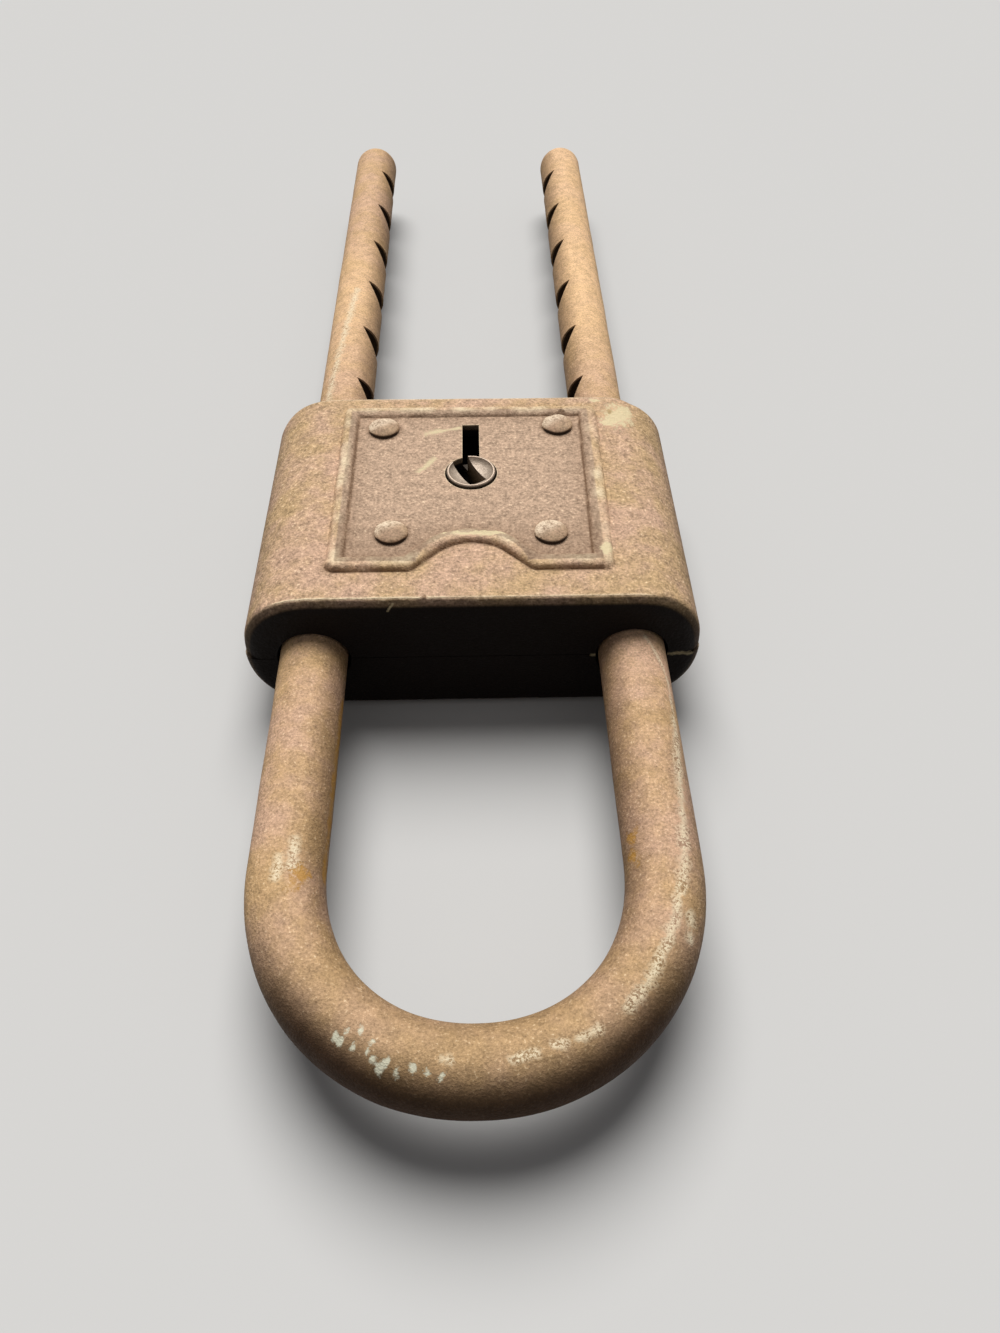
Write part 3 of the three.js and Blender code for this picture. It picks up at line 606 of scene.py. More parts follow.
# Works that the back shell holds: bush, cam plate, dogs with their spring and its post.
# The dogs, cam plate and post are plain steel, dull with old oil; the bush is turned brass and
# the spring a bent strip of dark spring steel. They keep the shapes of the CAD.
key_way = (*(drum_place + (0, 4.5)), 14.0)
key_way_half = (6.5, 15.0, 40.0)
# Painted shade: the works go near black about the key's way, under the keyhole.
key_way_shade = linear(16, 11, 7)


def metal(name, light, dark, stain, roughness, metallic, size):
    """Bare metal of the works, mottled with tarnish, and painted near black with shade about the key's way.
    """
    material, tree, place = new_material(name)
    mottle = use(tree, grain, Place=place, Grain=size, Fine=size / 4, Blotch=size * 4)
    colour = mix_of(tree, mottle["Grain"], dark, light)
    oily = ramp_of(tree, mottle["Blotch"], 0.45, 0.9)
    colour = mix_of(tree, oily, colour, stain)
    key_way_shaded = use(tree, spot, Place=place, Centre=key_way, Half=key_way_half, Soft=0.5)["Mask"]
    colour = mix_of(tree, key_way_shaded, colour, key_way_shade)
    rough = graded(tree, mottle["Grain"], 0.18, roughness)
    rough = graded(tree, key_way_shaded, 0.35, rough)
    bare = graded(tree, oily, -0.5, metallic)
    bare = times(tree, bare, math_of(tree, "SUBTRACT", 1.0, key_way_shaded), held=True)
    surface(tree, colour, rough, mottle["Height"], 0.012, bare, shine=0.1)
    return material


works_steel = metal(
    "works_steel", linear(158, 150, 142), linear(120, 112, 104), linear(70, 56, 42), 0.36, 0.85, 1.2
)
works_brass = metal(
    "works_brass", linear(201, 172, 106), linear(166, 136, 78), linear(96, 72, 40), 0.34, 0.9, 1.4
)
spring_steel = metal(
    "spring_steel", linear(110, 104, 98), linear(78, 73, 68), linear(52, 40, 30), 0.32, 0.85, 0.7
)


def finish_node(name, material):
    """Gives a CAD node that is shown as it is its finish."""
    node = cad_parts[name]
    node.data.materials.clear()
    node.data.materials.append(material)


for steel_piece in ("cam_plate", "left_dog", "right_dog", "dog_spring_post"):
    finish_node(steel_piece, works_steel)
finish_node("drum_bush", works_brass)
finish_node("dog_spring", spring_steel)

# Partition plate and levers: a stamped brass plate over the dogs, and three stamped brass levers
# that turn on a bush round one rivet. Each has a leaf spring gripped in a slit block.
for brass_piece in ("partition_plate", "lever_bush", "rear_lever", "middle_lever", "front_lever",
                    "lever_spring_block"):
    finish_node(brass_piece, works_brass)
for leaf in ("rear_lever_spring", "middle_lever_spring", "front_lever_spring"):
    finish_node(leaf, spring_steel)

# Shackle: one round steel rod bent to a bow, with nine saw-tooth notches filed in the inner side
# of each leg and its free ends rounded over. Browned like the case, worn pale in bands, with painted glints
# and painted shade.
rod_sides = 72
ring_step = 0.5
leg_end_y = shackle_high[1]
leg_end_dome = 3.0
bow_reach = 20.3
bow_power = 2.12
bow_start_y = shackle_low[1] + rod_radius + bow_reach
notch_count = 9
notch_pitch = 14.3
first_notch = 11.9
notch_depth = 2.2
notch_ramp = 5.0
rod_wave = 0.045
rod_pitting = 0.018
rod_loss = 0.03


def rod_line():
    """The rod's middle line from one free end to the other: places, and the rod's radius at each."""
    rounds = np.linspace(2, 90, 10)
    dome_y = leg_end_y - leg_end_dome * (1 - np.cos(np.radians(rounds)))
    dome_radius = rod_radius * np.sin(np.radians(rounds))
    leg_y = np.arange(dome_y[-1] - ring_step, bow_start_y, -ring_step)
    angle = np.linspace(0, math.pi, 1201)
    bow_x = -np.sign(np.cos(angle)) * np.abs(np.cos(angle)) ** (2 / bow_power) * leg_x
    bow_y = bow_start_y - bow_reach * np.sin(angle) ** (2 / bow_power)
    run = np.concatenate([[0], np.cumsum(np.hypot(np.diff(bow_x), np.diff(bow_y)))])
    at = np.linspace(0, run[-1], int(run[-1] / ring_step) + 1)
    bow = np.stack([np.interp(at, run, bow_x), np.interp(at, run, bow_y)], 1)
    down_y = np.concatenate([dome_y, leg_y])
    down = np.stack([0 * down_y - leg_x, down_y], 1)
    radius = np.concatenate([dome_radius, rod_radius + 0 * leg_y])
    line_points = np.concatenate([down, bow, down[::-1] * (-1, 1)])
    return line_points, np.concatenate([radius, rod_radius + 0 * at, radius[::-1]])


middle_line, rod_radii = rod_line()
ahead = np.gradient(middle_line, axis=0)
ahead /= np.linalg.norm(ahead, axis=1)[:, None]
outward = np.stack([ahead[:, 1], -ahead[:, 0]], 1)
rod_angle = np.arange(rod_sides) * 2 * math.pi / rod_sides
rod_rings = np.zeros((len(middle_line), rod_sides, 3))
aside = rod_radii[:, None] * np.cos(rod_angle)
rod_rings[:, :, :2] = middle_line[:, None] + outward[:, None] * aside[:, :, None]
rod_rings[:, :, 2] = case_middle + rod_radii[:, None] * np.sin(rod_angle)
uneven = rod_wave * lumps(rod_rings, 8, 3) + rod_pitting * lumps(rod_rings, 2.4, 5) - rod_loss
away = rod_rings.copy()
away[:, :, :2] -= middle_line[:, None]
away[:, :, 2] -= case_middle
rod_rings += away / rod_radius * uneven[:, :, None]
shackle = skin("shackle_rod", rod_rings)
notch_inner = leg_x - rod_radius
notch_cutters = []
for side in (-1, 1):
    for count in range(notch_count):
        y = leg_end_y - first_notch - count * notch_pitch
        wedge = [(notch_inner - past, y), (notch_inner + notch_depth, y),
                 (notch_inner - past, y - notch_ramp - past * notch_ramp / notch_depth)]
        levels = (case_middle - rod_radius - past, case_middle + rod_radius + past)
        notch_rings = np.array([[(side * a, b, z) for a, b in wedge] for z in levels])
        notch_cutters.append(skin("notch", notch_rings))
shape_with(shackle, "DIFFERENCE", notch_cutters)
soften(shackle)


streak_run = [
    (19.8, -20.7, 12.8), (21.4, -24.4, 11.9), (21.9, -27.0, 11.4), (21.8, -32.0, 11.5),
    (21.0, -42.5, 12.25), (20.0, -50.9, 12.7), (18.3, -56.2, 12.85), (15.9, -61.0, 12.8),
    (13.2, -64.2, 12.9),
]
# Short worn marks; the last four, on the bow's crest, are painted glints.
short_streaks_and_glints = [
    ((20.0, -55.4, 12.2), (19.7, -57.7, 11.8)), ((-17.5, -46.9, 12.7), (-17.6, -49.7, 12.7)),
    ((-18.8, -48.9, 12.95), (-18.9, -51.0, 12.95)), ((-21.0, 25.0, 12.3), (-19.9, 42.0, 12.8)),
    ((-19.9, 42.0, 12.8), (-18.6, 58.0, 12.9)), ((10.4, -66.1, 12.9), (8.6, -67.0, 12.9)),
    ((7.4, -67.3, 12.9), (6.6, -67.5, 12.9)), ((5.0, -68.0, 12.9), (2.9, -68.5, 12.9)),
    ((-2.3, -68.4, 12.9), (-2.9, -68.4, 12.9)),
]
fleck_places = [
    (-12.2, -66.1), (-11.6, -66.5), (-11.1, -65.9), (-10.5, -67.1), (-9.9, -65.8), (-9.3, -67.5),
    (-8.9, -66.8), (-8.9, -68.1), (-8.2, -68.8), (-7.6, -68.4), (-6.8, -69.1), (-5.4, -69.0),
    (-4.2, -69.4), (-3.0, -69.6),
]
thin_streak = 0.42
wide_streak = 0.85
bow_glint = 0.6
ochre_run = [(-14.85, -27.0, 9.5), (-14.85, -49.5, 9.7)]
ochre_spots = [(-16.7, -50.5, 12.5), (-17.3, -51.6, 12.7), (15.6, -48.6, 11.3), (15.7, -46.6, 11.4)]
rod_salmon = linear(213, 174, 144)
rod_tan = linear(205, 168, 122)
rod_cream = linear(251, 208, 157)
rod_olive = linear(188, 154, 112)
rod_low_shade = linear(90, 62, 34)
rod_outer_shade = linear(44, 22, 7)
rod_pit = linear(140, 105, 72)
rod_rubbed_and_glint = linear(253, 236, 200)
rod_green = linear(236, 233, 206)
rod_ochre = linear(206, 152, 66)
rod_notch_shade = linear(34, 20, 11)


def rod_steel():
    """Browned steel rod: fine grain, painted shade low on its sides, on the bow's outer side and on the
    notch faces, worn bands with painted glints, flecks and ochre rust.
    """
    material, tree, place = new_material("browned_rod")
    mottle = use(tree, grain, Place=place, Grain=1.3, Fine=0.3, Blotch=7.0)
    wander = mottle["Wander"]
    x, y, z = put(tree, "SeparateXYZ", {0: place}).outputs
    away = math_of(tree, "ABSOLUTE", x)
    on_right = math_of(tree, "GREATER_THAN", x, 0)
    beyond = ramp_of(tree, y, 15, 60)
    on_bow = ramp_of(tree, y, -52, -66)
    past_legs = math_of(tree, "MAXIMUM", math_of(tree, "SUBTRACT", bow_start_y, y), 0.0)
    down_bow = math_of(tree, "POWER", math_of(tree, "DIVIDE", past_legs, bow_reach), 2)
    across_bow = math_of(tree, "POWER", math_of(tree, "DIVIDE", away, leg_x), 2)
    outward = math_of(tree, "SQRT", math_of(tree, "ADD", across_bow, down_bow))
    colour = mix_of(tree, mottle["Blotch"], rod_salmon, rod_tan)
    brown_end = times(tree, ramp_of(tree, y, 55, 85), graded(tree, on_right, -0.3, 0.45))
    cream = graded(tree, on_right, 0.12, 0.62)
    cream = times(tree, beyond, math_of(tree, "SUBTRACT", cream, brown_end), held=True)
    colour = mix_of(tree, cream, colour, rod_cream)
    colour = mix_of(tree, times(tree, on_bow, 0.55), colour, rod_olive)
    # Painted shade: the rod darkens low on its sides and towards the bow's outer side.
    low = times(tree, ramp_of(tree, z, 12.0, 6.0), 0.9)
    low = math_of(tree, "MAXIMUM", low, times(tree, ramp_of(tree, outward, 0.96, 0.79), 0.5))
    colour = mix_of(tree, low, colour, rod_low_shade)
    # Painted shade, near black: the bow's outer side and the near part of the right leg's outer side.
    right_side = times(tree, ramp_of(tree, y, -28, -44), times(tree, on_right, 0.3))
    deep = math_of(tree, "MAXIMUM", times(tree, on_bow, 0.93), right_side)
    deep = times(tree, deep, ramp_of(tree, outward, 1.02, 1.19))
    colour = mix_of(tree, deep, colour, rod_outer_shade)
    calm = graded(tree, beyond, -0.6, 1.0)
    pits = times(tree, mottle["Pit"], times(tree, calm, 0.5))
    colour = mix_of(tree, pits, colour, rod_pit)
    specks = times(tree, mottle["Speck"], times(tree, calm, 0.4))
    colour = mix_of(tree, times(tree, specks, math_of(tree, "SUBTRACT", 1.0, deep)), colour, rod_rubbed_and_glint)
    colour = scaled(tree, colour, graded(tree, mottle["Grain"], 0.7, 0.67))
    # Painted shade: the bow darkens a little towards its near end.
    colour = scaled(tree, colour, graded(tree, ramp_of(tree, y, -68, -40), 0.08, 0.92))
    # Worn bands along the right leg's crest with painted glints in them, and painted glints on the bow's
    # crest.
    streaks_and_glints = 0.0
    for start, end in list(zip(streak_run, streak_run[1:])) + short_streaks_and_glints:
        width = thin_streak if -30 < start[1] < 0 else bow_glint if start[1] < -65 else wide_streak
        streak = use(tree, line, Place=place, Start=start, End=end, Width=width, Wander=wander,
                     Ragged=2.4, Soft=0.9)
        streaks_and_glints = math_of(tree, "MAXIMUM", streaks_and_glints, streak["Mask"])
    broken = times(tree, streaks_and_glints, ramp_of(tree, mottle["Grain"], 0.22, 0.62))
    colour = mix_of(tree, times(tree, broken, 0.92), colour, rod_rubbed_and_glint)
    flecks = 0.0
    for fleck in fleck_places:
        found = use(tree, spot, Place=place, Centre=(*fleck, 12.6), Half=(0.34, 0.44, 0.9), Turn=0.5,
                    Wander=wander, Ragged=2.4, Soft=0.6)
        flecks = math_of(tree, "MAXIMUM", flecks, found["Mask"])
    colour = mix_of(tree, times(tree, flecks, 0.85), colour, rod_green)
    ochre = use(tree, line, Place=place, Start=ochre_run[0], End=ochre_run[1], Width=0.8, Wander=wander,
                Ragged=1.6, Soft=0.9)["Mask"]
    for centre in ochre_spots:
        found = use(tree, spot, Place=place, Centre=centre, Half=(0.7, 1.0, 1.2), Wander=wander,
                    Ragged=3.4, Soft=1.0)
        ochre = math_of(tree, "MAXIMUM", ochre, found["Mask"])
    colour = mix_of(tree, times(tree, ochre, 0.7), colour, rod_ochre)
    # Painted shade, near black: the filed faces of the notches.
    off_side = math_of(tree, "SUBTRACT", away, leg_x)
    off_middle = math_of(tree, "SUBTRACT", z, case_middle)
    off_leg = put(tree, "CombineXYZ", {0: off_side, 2: off_middle}).outputs[0]
    off_leg = vector_of(tree, "LENGTH", off_leg)
    cut = ramp_of(tree, off_leg, rod_radius - 0.15, rod_radius - 0.4)
    cut = times(tree, cut, ramp_of(tree, y, leg_end_y - leg_end_dome, leg_end_y - leg_end_dome - 0.5))
    cut = times(tree, cut, math_of(tree, "GREATER_THAN", y, bow_start_y + 5))
    colour = mix_of(tree, times(tree, cut, 0.93), colour, rod_notch_shade)
    rough = graded(tree, mottle["Grain"], -0.14, 0.7)
    rough = graded(tree, math_of(tree, "MAXIMUM", broken, flecks), -0.3, rough)
    surface(tree, colour, rough, mottle["Height"], 0.055, shine=0.12)
    return material


dress(shackle, rod_steel())
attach(shackle, "shackle")
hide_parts("shackle")

# Front shell: the other half of the case, cast with a raised bead that frames the keyhole.
# The bead has square corners and a round-topped arch in its near side. The face's near edge is a
# sharp crest, burred and nicked.
far_inset = 4.1
near_inset = 6.35
left_inset = 11.15
right_inset_far = 11.25
right_inset_near = 11.7
panel_top = case_half_height - far_inset
panel_bottom = near_inset - case_half_height
panel_left = left_inset - case_half_width
panel_right_far = case_half_width - right_inset_far
panel_right_near = case_half_width - right_inset_near
arch_rise = 4.75
arch_radius = 6.8
bead_height = box_mm("front_shell")[1][2] - case_thickness
bead_fullness = 5.0
bead_wander = 0.14
bead_uneven = 0.25
low_bead = (1.15, 0.85, (0, -1))
left_bead = (1.0, 0.72, (1, 0))
right_bead = (1.22, 0.7, (-1, 0))
top_bead = (1.05, 0.5, (0, -1))
bead_lobes = [
    ((15.7, -11.8), (0.65, 1.1), 0.5), ((-16.4, -13.3), (0.9, 0.6), 0.5), ((12.2, 15.4), (0.7, 0.35), 0.8),
]
skin_fine = 0.015
front_crest = 0.94
burr_in = 0.9
burr_half = 0.55
burr_wide = 0.10
burr_fine = 0.06
nick_x = -5.4
nick_half = 0.28
nick_depth = 0.45
key_slot_half = 1.1
key_slot_inset = 2.85
key_slot_far = panel_top - key_slot_inset
drum_hole_radius = 3.3
rivet_shade_radius = 2.15


def bead_line(step=0.1):
    """Places along the middle of the bead, close together, each with the make of the bead there.

    The make is the bead's half width, its height as a share of the CAD's, and the way to the side
    of its foot where shade is painted. The arch's round top lies between ramps that rise at 45 degrees.
    """
    foot = arch_radius * math.sqrt(0.5)
    ramp_foot = foot + arch_rise - arch_radius * (1 - math.sqrt(0.5))
    centre_y = panel_bottom + arch_rise - arch_radius
    corners = [(panel_left, panel_top, left_bead), (panel_left, panel_bottom, low_bead),
               (-ramp_foot, panel_bottom, low_bead)]
    for a in np.radians(np.linspace(135, 45, 60)):
        corners.append((arch_radius * math.cos(a), centre_y + arch_radius * math.sin(a), low_bead))
    corners += [(ramp_foot, panel_bottom, low_bead), (panel_right_near, panel_bottom, right_bead),
                (panel_right_far, panel_top, top_bead), (panel_left, panel_top, top_bead)]
    found = []
    for (x0, y0, make), (x1, y1, _) in zip(corners, corners[1:]):
        steps = max(int(math.hypot(x1 - x0, y1 - y0) / step), 1)
        found += [(x0 + (x1 - x0) * i / steps, y0 + (y1 - y0) * i / steps, make) for i in range(steps)]
    return found


def bead_reach(points):
    """How each point lies to the bead: its distance as a share of the half width, the bead's height
    there, and how far it is on the side where the bead's foot has painted shade, from -1 to 1."""
    line_points = bead_line()
    tree = kdtree.KDTree(len(line_points))
    for i, (x, y, _) in enumerate(line_points):
        tree.insert((x, y, 0), i)
    tree.balance()
    found = []
    for x, y, _ in points:
        nearest, i, distance = tree.find((x, y, 0))
        half_width, height, to_shade = line_points[i][2]
        side = (x - nearest.x) * to_shade[0] + (y - nearest.y) * to_shade[1]
        found.append((distance / half_width, height, side / max(distance, 0.05)))
    return np.array(found).T


front_rings = case_rings(
    0, (44, 176, 190), edge_radius=2.2, edge_steps=9, face_turn=35, side_turn=8, fades=(0.5, 0.9),
    caps=(0.5, 1.1, 1.6),
)
on_flat = front_rings[:, :, 2] > case_thickness - 0.001
flat_points = front_rings[on_flat]
share, height, _ = bead_reach(flat_points)
share = np.clip(share * (1 + bead_wander * lumps(flat_points, 2.2, 4)), 0, 1)
raised = bead_height * height * (1 - share**bead_fullness)
raised *= 1 + bead_uneven * lumps(flat_points, 3.0, 14)
for (x, y), (half_x, half_y), height in bead_lobes:
    from_lobe = ((flat_points[:, 0] - x) / half_x) ** 2 + ((flat_points[:, 1] - y) / half_y) ** 2
    raised = np.maximum(raised, height * np.exp(-from_lobe))
front_rings[on_flat, 2] += raised
uneven = skin_uneven * lumps(front_rings, 6, 2) + skin_fine * lumps(front_rings, 1.3, 7)
front_rings[:, 1:-1, 2] += uneven[:, 1:-1]
along_x = front_rings * (1, 0, 0)
in_from_end = case_half_height + front_rings[:, :, 1]
near_edge = (in_from_end > 0.001) * (front_rings[:, :, 1] < 0)
near_edge = near_edge * np.exp(-(((in_from_end - burr_in) / burr_half) ** 2))
burrs = burr_wide * lumps(along_x, 1.7, 3) + burr_fine * lumps(along_x, 0.5, 9)
burrs *= np.where(front_rings[:, :, 0] < -3, 1, 0.3)
burrs += nick_depth * np.exp(-(((front_rings[:, :, 0] - nick_x) / nick_half) ** 2))
front_rings[:, :, 1] += near_edge * burrs
front_shell = skin("front_cover", front_rings)
shape_with(front_shell, "DIFFERENCE", [skin("room", case_room())])
boss_levels = (partition_high[2] + snug, case_thickness - case_wall + boss_root)
front_bosses = at_rivets("boss", boss_radius, boss_levels, rivet_names[1:])
shape_with(front_shell, "UNION", front_bosses)
face_levels = (case_thickness - case_wall - past, case_thickness + past)
drum_hole = round_bar("drum_hole", drum_hole_radius, drum_place, face_levels)
key_slot = block("key_slot", (-key_slot_half, key_slot_half), (drum_place[1], key_slot_far), face_levels)
rivet_holes = at_rivets("rivet_hole", rivet_hole_radius, (-past, case_thickness + past))
shape_with(front_shell, "DIFFERENCE", leg_holes() + rivet_holes + [drum_hole, key_slot])
soften(front_shell)
front_points = points_of(front_shell)
share, _, shade_side = bead_reach(front_points)
x, y, z = front_points.T
on_face = z > case_thickness - 0.4
up_the_panel = (y - panel_bottom) / (panel_top - panel_bottom)
right_side = panel_right_near + (panel_right_far - panel_right_near) * up_the_panel
above_arch = np.hypot(x, y - panel_bottom - arch_rise + arch_radius) > arch_radius
in_panel = (x > panel_left) * (x < right_side) * (y < panel_top) * (y > panel_bottom) * above_arch * on_face
patchy = np.clip(0.45 + 1.3 * lumps(front_points, 2.6, 17), 0.1, 1)
crown = on_face * patchy * np.clip(1.25 - share * 1.35 - 0.25 * shade_side, 0, 1)
# Painted shadow: a dark line along the bead's foot on its shaded side, faint on its other side and lighter
# on the top bead.
foot = on_face * np.exp(-(((share - 1.0) / 0.16) ** 2)) * np.where(shade_side > 0.2, 0.95, 0.14)
foot *= np.where(y > panel_top - 2, 0.62, 1.0)
# Darker towards the bead's inner foot and towards the near end of the panel.
darkened = in_panel * (0.26 * np.exp(-np.maximum(share - 1, 0) / 1.5) + 0.22 * eased((-3 - y) / 9))
edge_x = np.maximum(np.abs(x) - key_slot_half, 0)
edge_y = np.maximum(np.maximum(drum_place[1] - y, y - key_slot_far), 0)
from_slot = np.hypot(edge_x, edge_y)
from_hole = np.abs(np.hypot(x - drum_place[0], y - drum_place[1]) - drum_hole_radius)
key_edge = (z > case_thickness - 0.15) * (np.minimum(from_slot, from_hole) < 0.04)
# Painted shade: a dark ring round the foot of each rivet head.
for place in rivet_places.values():
    ring = np.hypot(x - place[0], y - place[1]) - rivet_shade_radius
    darkened = np.maximum(darkened, 0.45 * on_face * np.exp(-((ring / 0.3) ** 2)))
crest = crest_wear(front_points, front_crest) * np.where((y < 0) * (x < -3), 1.0, 0.6)
worn = np.maximum(0.8 * crown, crest * (0.2 + 0.8 * eased((z - 14) / 3.5)))
wear_on(front_shell, "wear_and_highlight", np.maximum(worn, 0.55 * key_edge))
wear_on(front_shell, "dirt_and_shade", np.maximum(0.92 * foot, darkened))
wear_on(front_shell, "panel", in_panel)
dress(front_shell, browned_iron)
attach(front_shell, "case")
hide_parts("front_shell")

# Rivets: four plain iron rivets that hold the shells together, with low domed heads on the face,
# hammered a little uneven, and tails set flush into the back.
rivet_head_radius = 2.0
rivet_head_height = 0.62
rivet_rim = 0.25
rivet_gap = 0.05
rivet_seat = case_thickness + rivet_gap
head_uneven = 0.09
head_loss = 0.02
head_bulge = 0.04
rivet_brown = linear(190, 157, 128)
rivet_tan = linear(198, 167, 134)
rivet_highlight = linear(248, 226, 196)
rivet_shade = linear(34, 22, 15)


def rivet_iron():
    """Browned iron, with a painted highlight on the far left of each head, and painted shadow, near black,
    at its near foot.
    """
    material, tree, place = new_material("browned_rivet")
    mottle = use(tree, grain, Place=place, Grain=0.8, Fine=0.26, Blotch=3.0)
    colour = mix_of(tree, mottle["Blotch"], rivet_brown, rivet_tan)
    colour = mix_of(tree, times(tree, mottle["Pit"], 0.45), colour, rust_pit)
    wear_and_highlight = wear_of(tree, "wear_and_highlight")
    bright = times(tree, wear_and_highlight, graded(tree, mottle["Grain"], 1.6, -0.2), held=True)
    colour = scaled(tree, colour, graded(tree, mottle["Grain"], 0.75, 0.56))
    colour = mix_of(tree, bright, colour, rivet_highlight)
    colour = mix_of(tree, wear_of(tree, "dirt_and_shade"), colour, rivet_shade)
    rough = graded(tree, wear_and_highlight, -0.15, 0.66)
    surface(tree, colour, rough, mottle["Height"], 0.03, shine=0.15)
    return material


browned_rivet = rivet_iron()
rivet_profile = [(rivet_tail_radius, rivet_gap), (rivet_tail_radius, snug), (rivet_radius, rivet_tail_depth)]
rivet_profile += [(rivet_radius, rivet_seat), (rivet_head_radius, rivet_seat)]
for turn in np.radians(np.linspace(2, 86, 16)):
    level = rivet_seat + rivet_rim + rivet_head_height * math.sin(turn)
    rivet_profile.append((rivet_head_radius * math.cos(turn), level))
for count, (name, place) in enumerate(rivet_places.items()):
    rivet = turned_form(name + "_iron", rivet_profile, place, 56)
    points = points_of(rivet)
    head = points[:, 2] > rivet_seat + 0.01
    from_axis = points - (*place, 0)
    hammered = lumps(from_axis + (7 * count, 0, 0), 1.1, 20 + count)
    points[head, 2] += head_uneven * hammered[head] - head_loss
    bulge = head_bulge * lumps(from_axis, 2.2, 31 + count)
    points[head, :2] += (from_axis[:, :2] * bulge[:, None])[head]
    rivet.data.vertices.foreach_set("co", (points * mm).ravel())
    soften(rivet, 40)
    # Painted highlight: each head is pale on its far left, where the light falls.
    to_far_left = (from_axis[:, 1] - 0.6 * from_axis[:, 0]) / rivet_head_radius
    to_near = -from_axis[:, 1] / rivet_head_radius
    wear_on(rivet, "wear_and_highlight", head * eased(0.5 + 0.9 * to_far_left - (7 * count % 3) * 0.12))
    # Painted shadow: near black round the foot of each head, rising higher on its near side.
    foot_height = rivet_seat + 0.12 + 0.32 * eased(to_near * 1.4)
    wear_on(rivet, "dirt_and_shade", 0.95 * eased((foot_height - points[:, 2]) / 0.14))
    dress(rivet, browned_rivet)
    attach(rivet, "case")
    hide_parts(name)

# Key drum: turned steel, dished on its face, with a slot for the key's bit cut from its rim past
# its middle. It was left turned from the case's own slot. Grey-brown, with dirt in the dish.
drum_low, drum_top = (corner[2] for corner in box_mm("key_drum"))
drum_radius = 3.1
drum_rim = 0.3
drum_dish = 0.9
drum_round = 0.15
drum_turn = math.radians(30)
drum_slot_half = 1.15
drum_slot_back = 1.9
slot_under_levers = 0.05
slot_floor = box_mm("rear_lever")[0][2] - slot_under_levers
drum_floor = 0.8
shoulder = slot_floor - drum_floor
cam_low = box_mm("cam_plate")[0][2]
cam_thickness = 1.2
cam_top = cam_low + cam_thickness
flange_gap = 0.25
flange_thickness = 0.65
flange_top = case_thickness - case_wall - flange_gap
flange_low = flange_top - flange_thickness
flange_lip = 1.3
flange_radius = drum_radius + flange_lip
stem_radius = 2.0
stem_foot = cam_top + dog_gap
stem_half = 1.3
pivot_radius = 1.2
dish_radius = drum_radius - drum_rim
drum_profile = [
    (pivot_radius, drum_low), (pivot_radius, stem_foot), (stem_radius, stem_foot),
    (stem_radius, shoulder), (drum_radius, shoulder), (drum_radius, flange_low),
    (flange_radius, flange_low), (flange_radius, flange_top), (drum_radius, flange_top),
    (drum_radius, drum_top - drum_round), (drum_radius - drum_round, drum_top),
]
for turn in np.radians(np.linspace(0, 86, 16)):
    drum_profile.append((dish_radius * math.cos(turn), drum_top - drum_dish * math.sin(turn)))
key_drum = turned_form("key_drum_steel", drum_profile, drum_place, 96)
square_y = (drum_place[1] - stem_half, drum_place[1] + stem_half)
stem_square = block("square", (-stem_half, stem_half), square_y, (cam_low - dog_gap, stem_foot + snug))
shape_with(key_drum, "UNION", [stem_square])
slot_y = (drum_place[1] - drum_slot_back, drum_place[1] + flange_radius + past)
drum_slot = block("drum_slot", (-drum_slot_half, drum_slot_half), slot_y, (slot_floor, drum_top + past))
shape_with(key_drum, "DIFFERENCE", [drum_slot])
axis = Vector((*drum_place, 0)) * mm
turned = Matrix.Translation(axis) @ Matrix.Rotation(drum_turn, 4, "Z") @ Matrix.Translation(-axis)
key_drum.data.transform(turned)
soften(key_drum, 30)
drum_brown = linear(144, 126, 108)
drum_grey = linear(186, 168, 148)
drum_dirt = linear(172, 142, 100)
drum_depth_shade = linear(20, 13, 8)
drum_rubbed = linear(206, 180, 156)


def drum_steel():
    """Dull grey-brown steel, with a brighter worn rim, brown dirt in the dish and the slot, and painted
    shade deep in the slot and on the drum's side.
    """
    material, tree, place = new_material("drum_steel")
    mottle = use(tree, grain, Place=place, Grain=0.8, Fine=0.25, Blotch=2.0)
    colour = mix_of(tree, mottle["Grain"], drum_brown, drum_grey)
    sunk = wear_of(tree, "dirt_and_shade")
    colour = mix_of(tree, sunk, colour, drum_dirt)
    colour = mix_of(tree, wear_of(tree, "dark"), colour, drum_depth_shade)
    colour = mix_of(tree, wear_of(tree, "wear_and_highlight"), colour, drum_rubbed)
    rough = graded(tree, sunk, 0.3, 0.42)
    bare = graded(tree, sunk, -0.2, 0.25)
    surface(tree, colour, rough, mottle["Height"], 0.02, bare)
    return material


x, y, z = points_of(key_drum).T
from_drum = np.hypot(x - drum_place[0], y - drum_place[1])
on_wall = (from_drum > drum_radius - 0.01) * (z < drum_top - drum_round + 0.01)
wear_on(key_drum, "wear_and_highlight", (z > drum_top - 0.1) * (from_drum > dish_radius - 0.05) * 0.4)
wear_on(key_drum, "dirt_and_shade", eased((drum_top - drum_dish - z) / 0.4))
# Painted shade: near black deep in the slot and down the drum's side wall.
wear_on(key_drum, "dark", np.maximum(eased((drum_top - 2.6 - z) / 3.0), 0.9 * on_wall))
dress(key_drum, drum_steel())
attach(key_drum, "drum")
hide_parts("key_drum")

# Bench: a plain pale floor under the lock. Eyes and reflections see it pale; it throws little
# light back up, so that the lock's under sides stay dark.
floor_half = 4000
floor_level = -0.05
floor_signs = ((-1, -1), (1, -1), (1, 1), (-1, 1))
floor_corners = [(a * floor_half, b * floor_half, floor_level) for a, b in floor_signs]
floor = new_piece("bench_top", floor_corners, [(0, 1, 2, 3)])


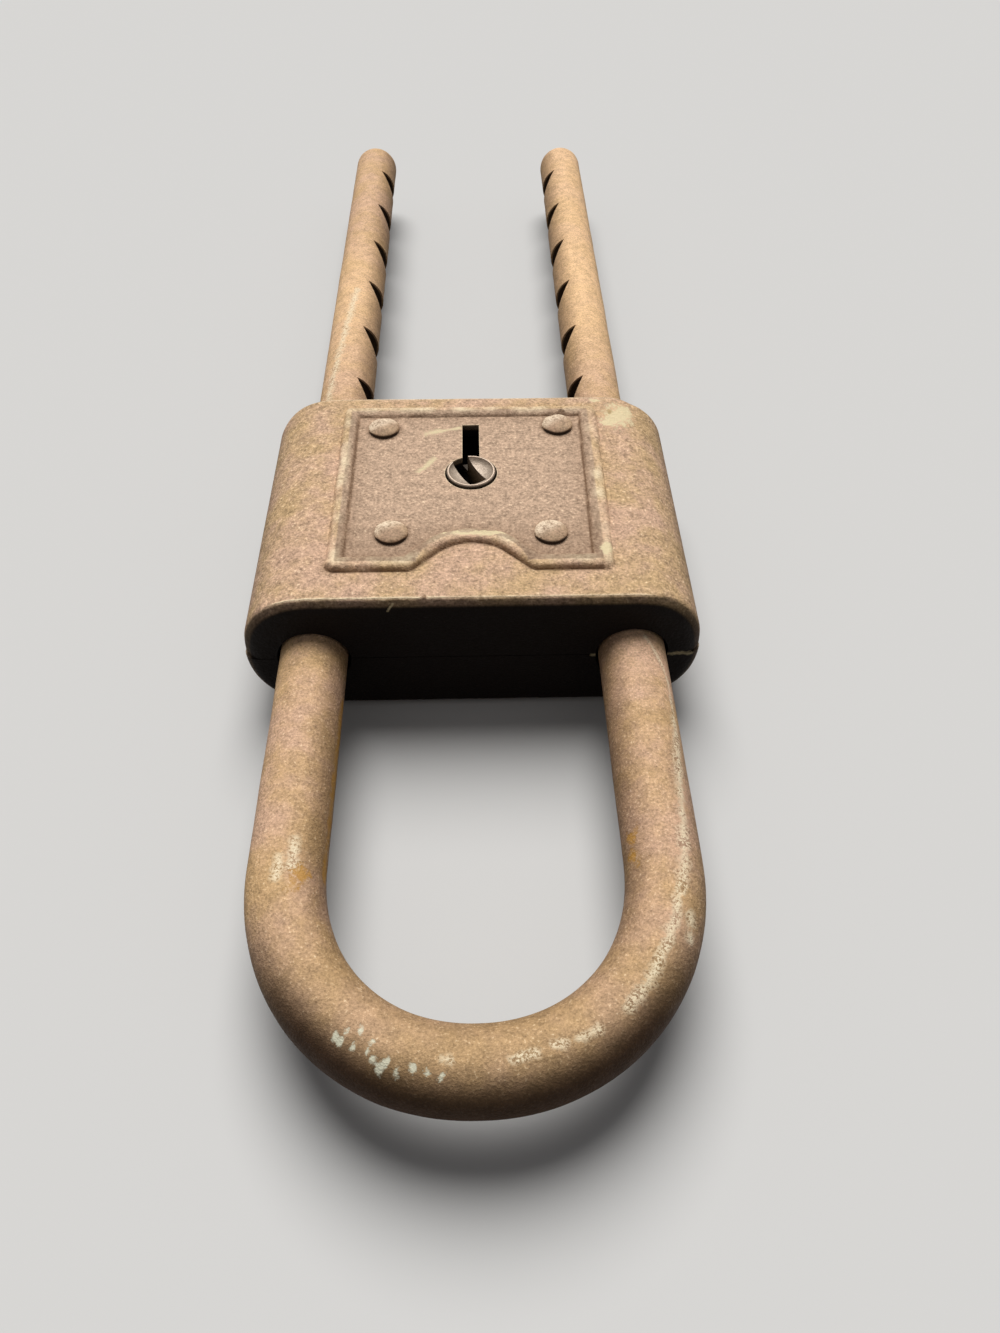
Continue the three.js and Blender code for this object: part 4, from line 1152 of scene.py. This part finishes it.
def seen(tree):
    """1 for rays that come from the camera, a reflection or glass, and 0 for those that gather light."""
    ray = put(tree, "LightPath", {}).outputs
    direct = math_of(tree, "MAXIMUM", ray["Is Camera Ray"], ray["Is Glossy Ray"])
    return math_of(tree, "MAXIMUM", direct, ray["Is Transmission Ray"])


bench = bpy.data.materials.new("bench_top")
bench.use_nodes = True
bench_tree = bench.node_tree
bench_tree.nodes.clear()
bench_dim = (0.10, 0.10, 0.10, 1)
bench_pale = (0.68, 0.67, 0.65, 1)
bench_colour = mix_of(bench_tree, seen(bench_tree), bench_dim, bench_pale)
bench_shader = put(bench_tree, "BsdfDiffuse", {"Color": bench_colour})
bench_tree.links.new(bench_shader.outputs[0], put(bench_tree, "OutputMaterial", {}).inputs[0])
dress(floor, bench)

# Light: one broad soft lamp from beyond the free ends of the legs, high up, in a dim even room.
# Eyes and reflections see the room pale, as they do the bench.
world = bpy.data.worlds.new("room")
bpy.context.scene.world = world
world.use_nodes = True
room = world.node_tree
room.nodes.clear()
room_light = (0.15, 0.15, 0.155, 1)
room_seen = (0.70, 0.69, 0.68, 1)
room_colour = mix_of(room, seen(room), room_light, room_seen)
room_shader = put(room, "Background", {"Color": room_colour, "Strength": 1.0})
room.links.new(room_shader.outputs[0], put(room, "OutputWorld", {}).inputs[0])
lamp = bpy.data.lights.new("soft_lamp", "SUN")
lamp.energy = 3.15
lamp.angle = math.radians(42)
lamp_from = Vector((-0.04, 0.52, 0.85))
lamp_object = bpy.data.objects.new("soft_lamp", lamp)
lamp_object.rotation_euler = lamp_from.to_track_quat("Z", "Y").to_euler()
bpy.context.scene.collection.objects.link(lamp_object)

# Camera: a phone held over the bow, looking down across the case towards the free ends. Its place
# and angles are those at which the outline of the lock falls on the photograph's.
photo_height = 1333
focal_pixels = 1001.0
camera_place = Vector((0.6733, -98.3483, 97.748)) * mm
camera_yaw = -0.0315
camera_pitch = 0.8581
camera_roll = 0.0083
camera_data = bpy.data.cameras.new("camera")
camera_data.sensor_width = 36
camera_data.lens = focal_pixels * camera_data.sensor_width / photo_height
camera_data.clip_start = 0.005
camera = bpy.data.objects.new("camera", camera_data)
camera.matrix_world = (
    Matrix.Translation(camera_place) @ Matrix.Rotation(camera_yaw, 4, "Z")
    @ Matrix.Rotation(math.pi / 2 - camera_pitch, 4, "X") @ Matrix.Rotation(camera_roll, 4, "Z")
)
bpy.context.scene.collection.objects.link(camera)
bpy.context.scene.camera = camera
bpy.context.scene.view_settings.view_transform = "Standard"

bpy.context.view_layer.update()
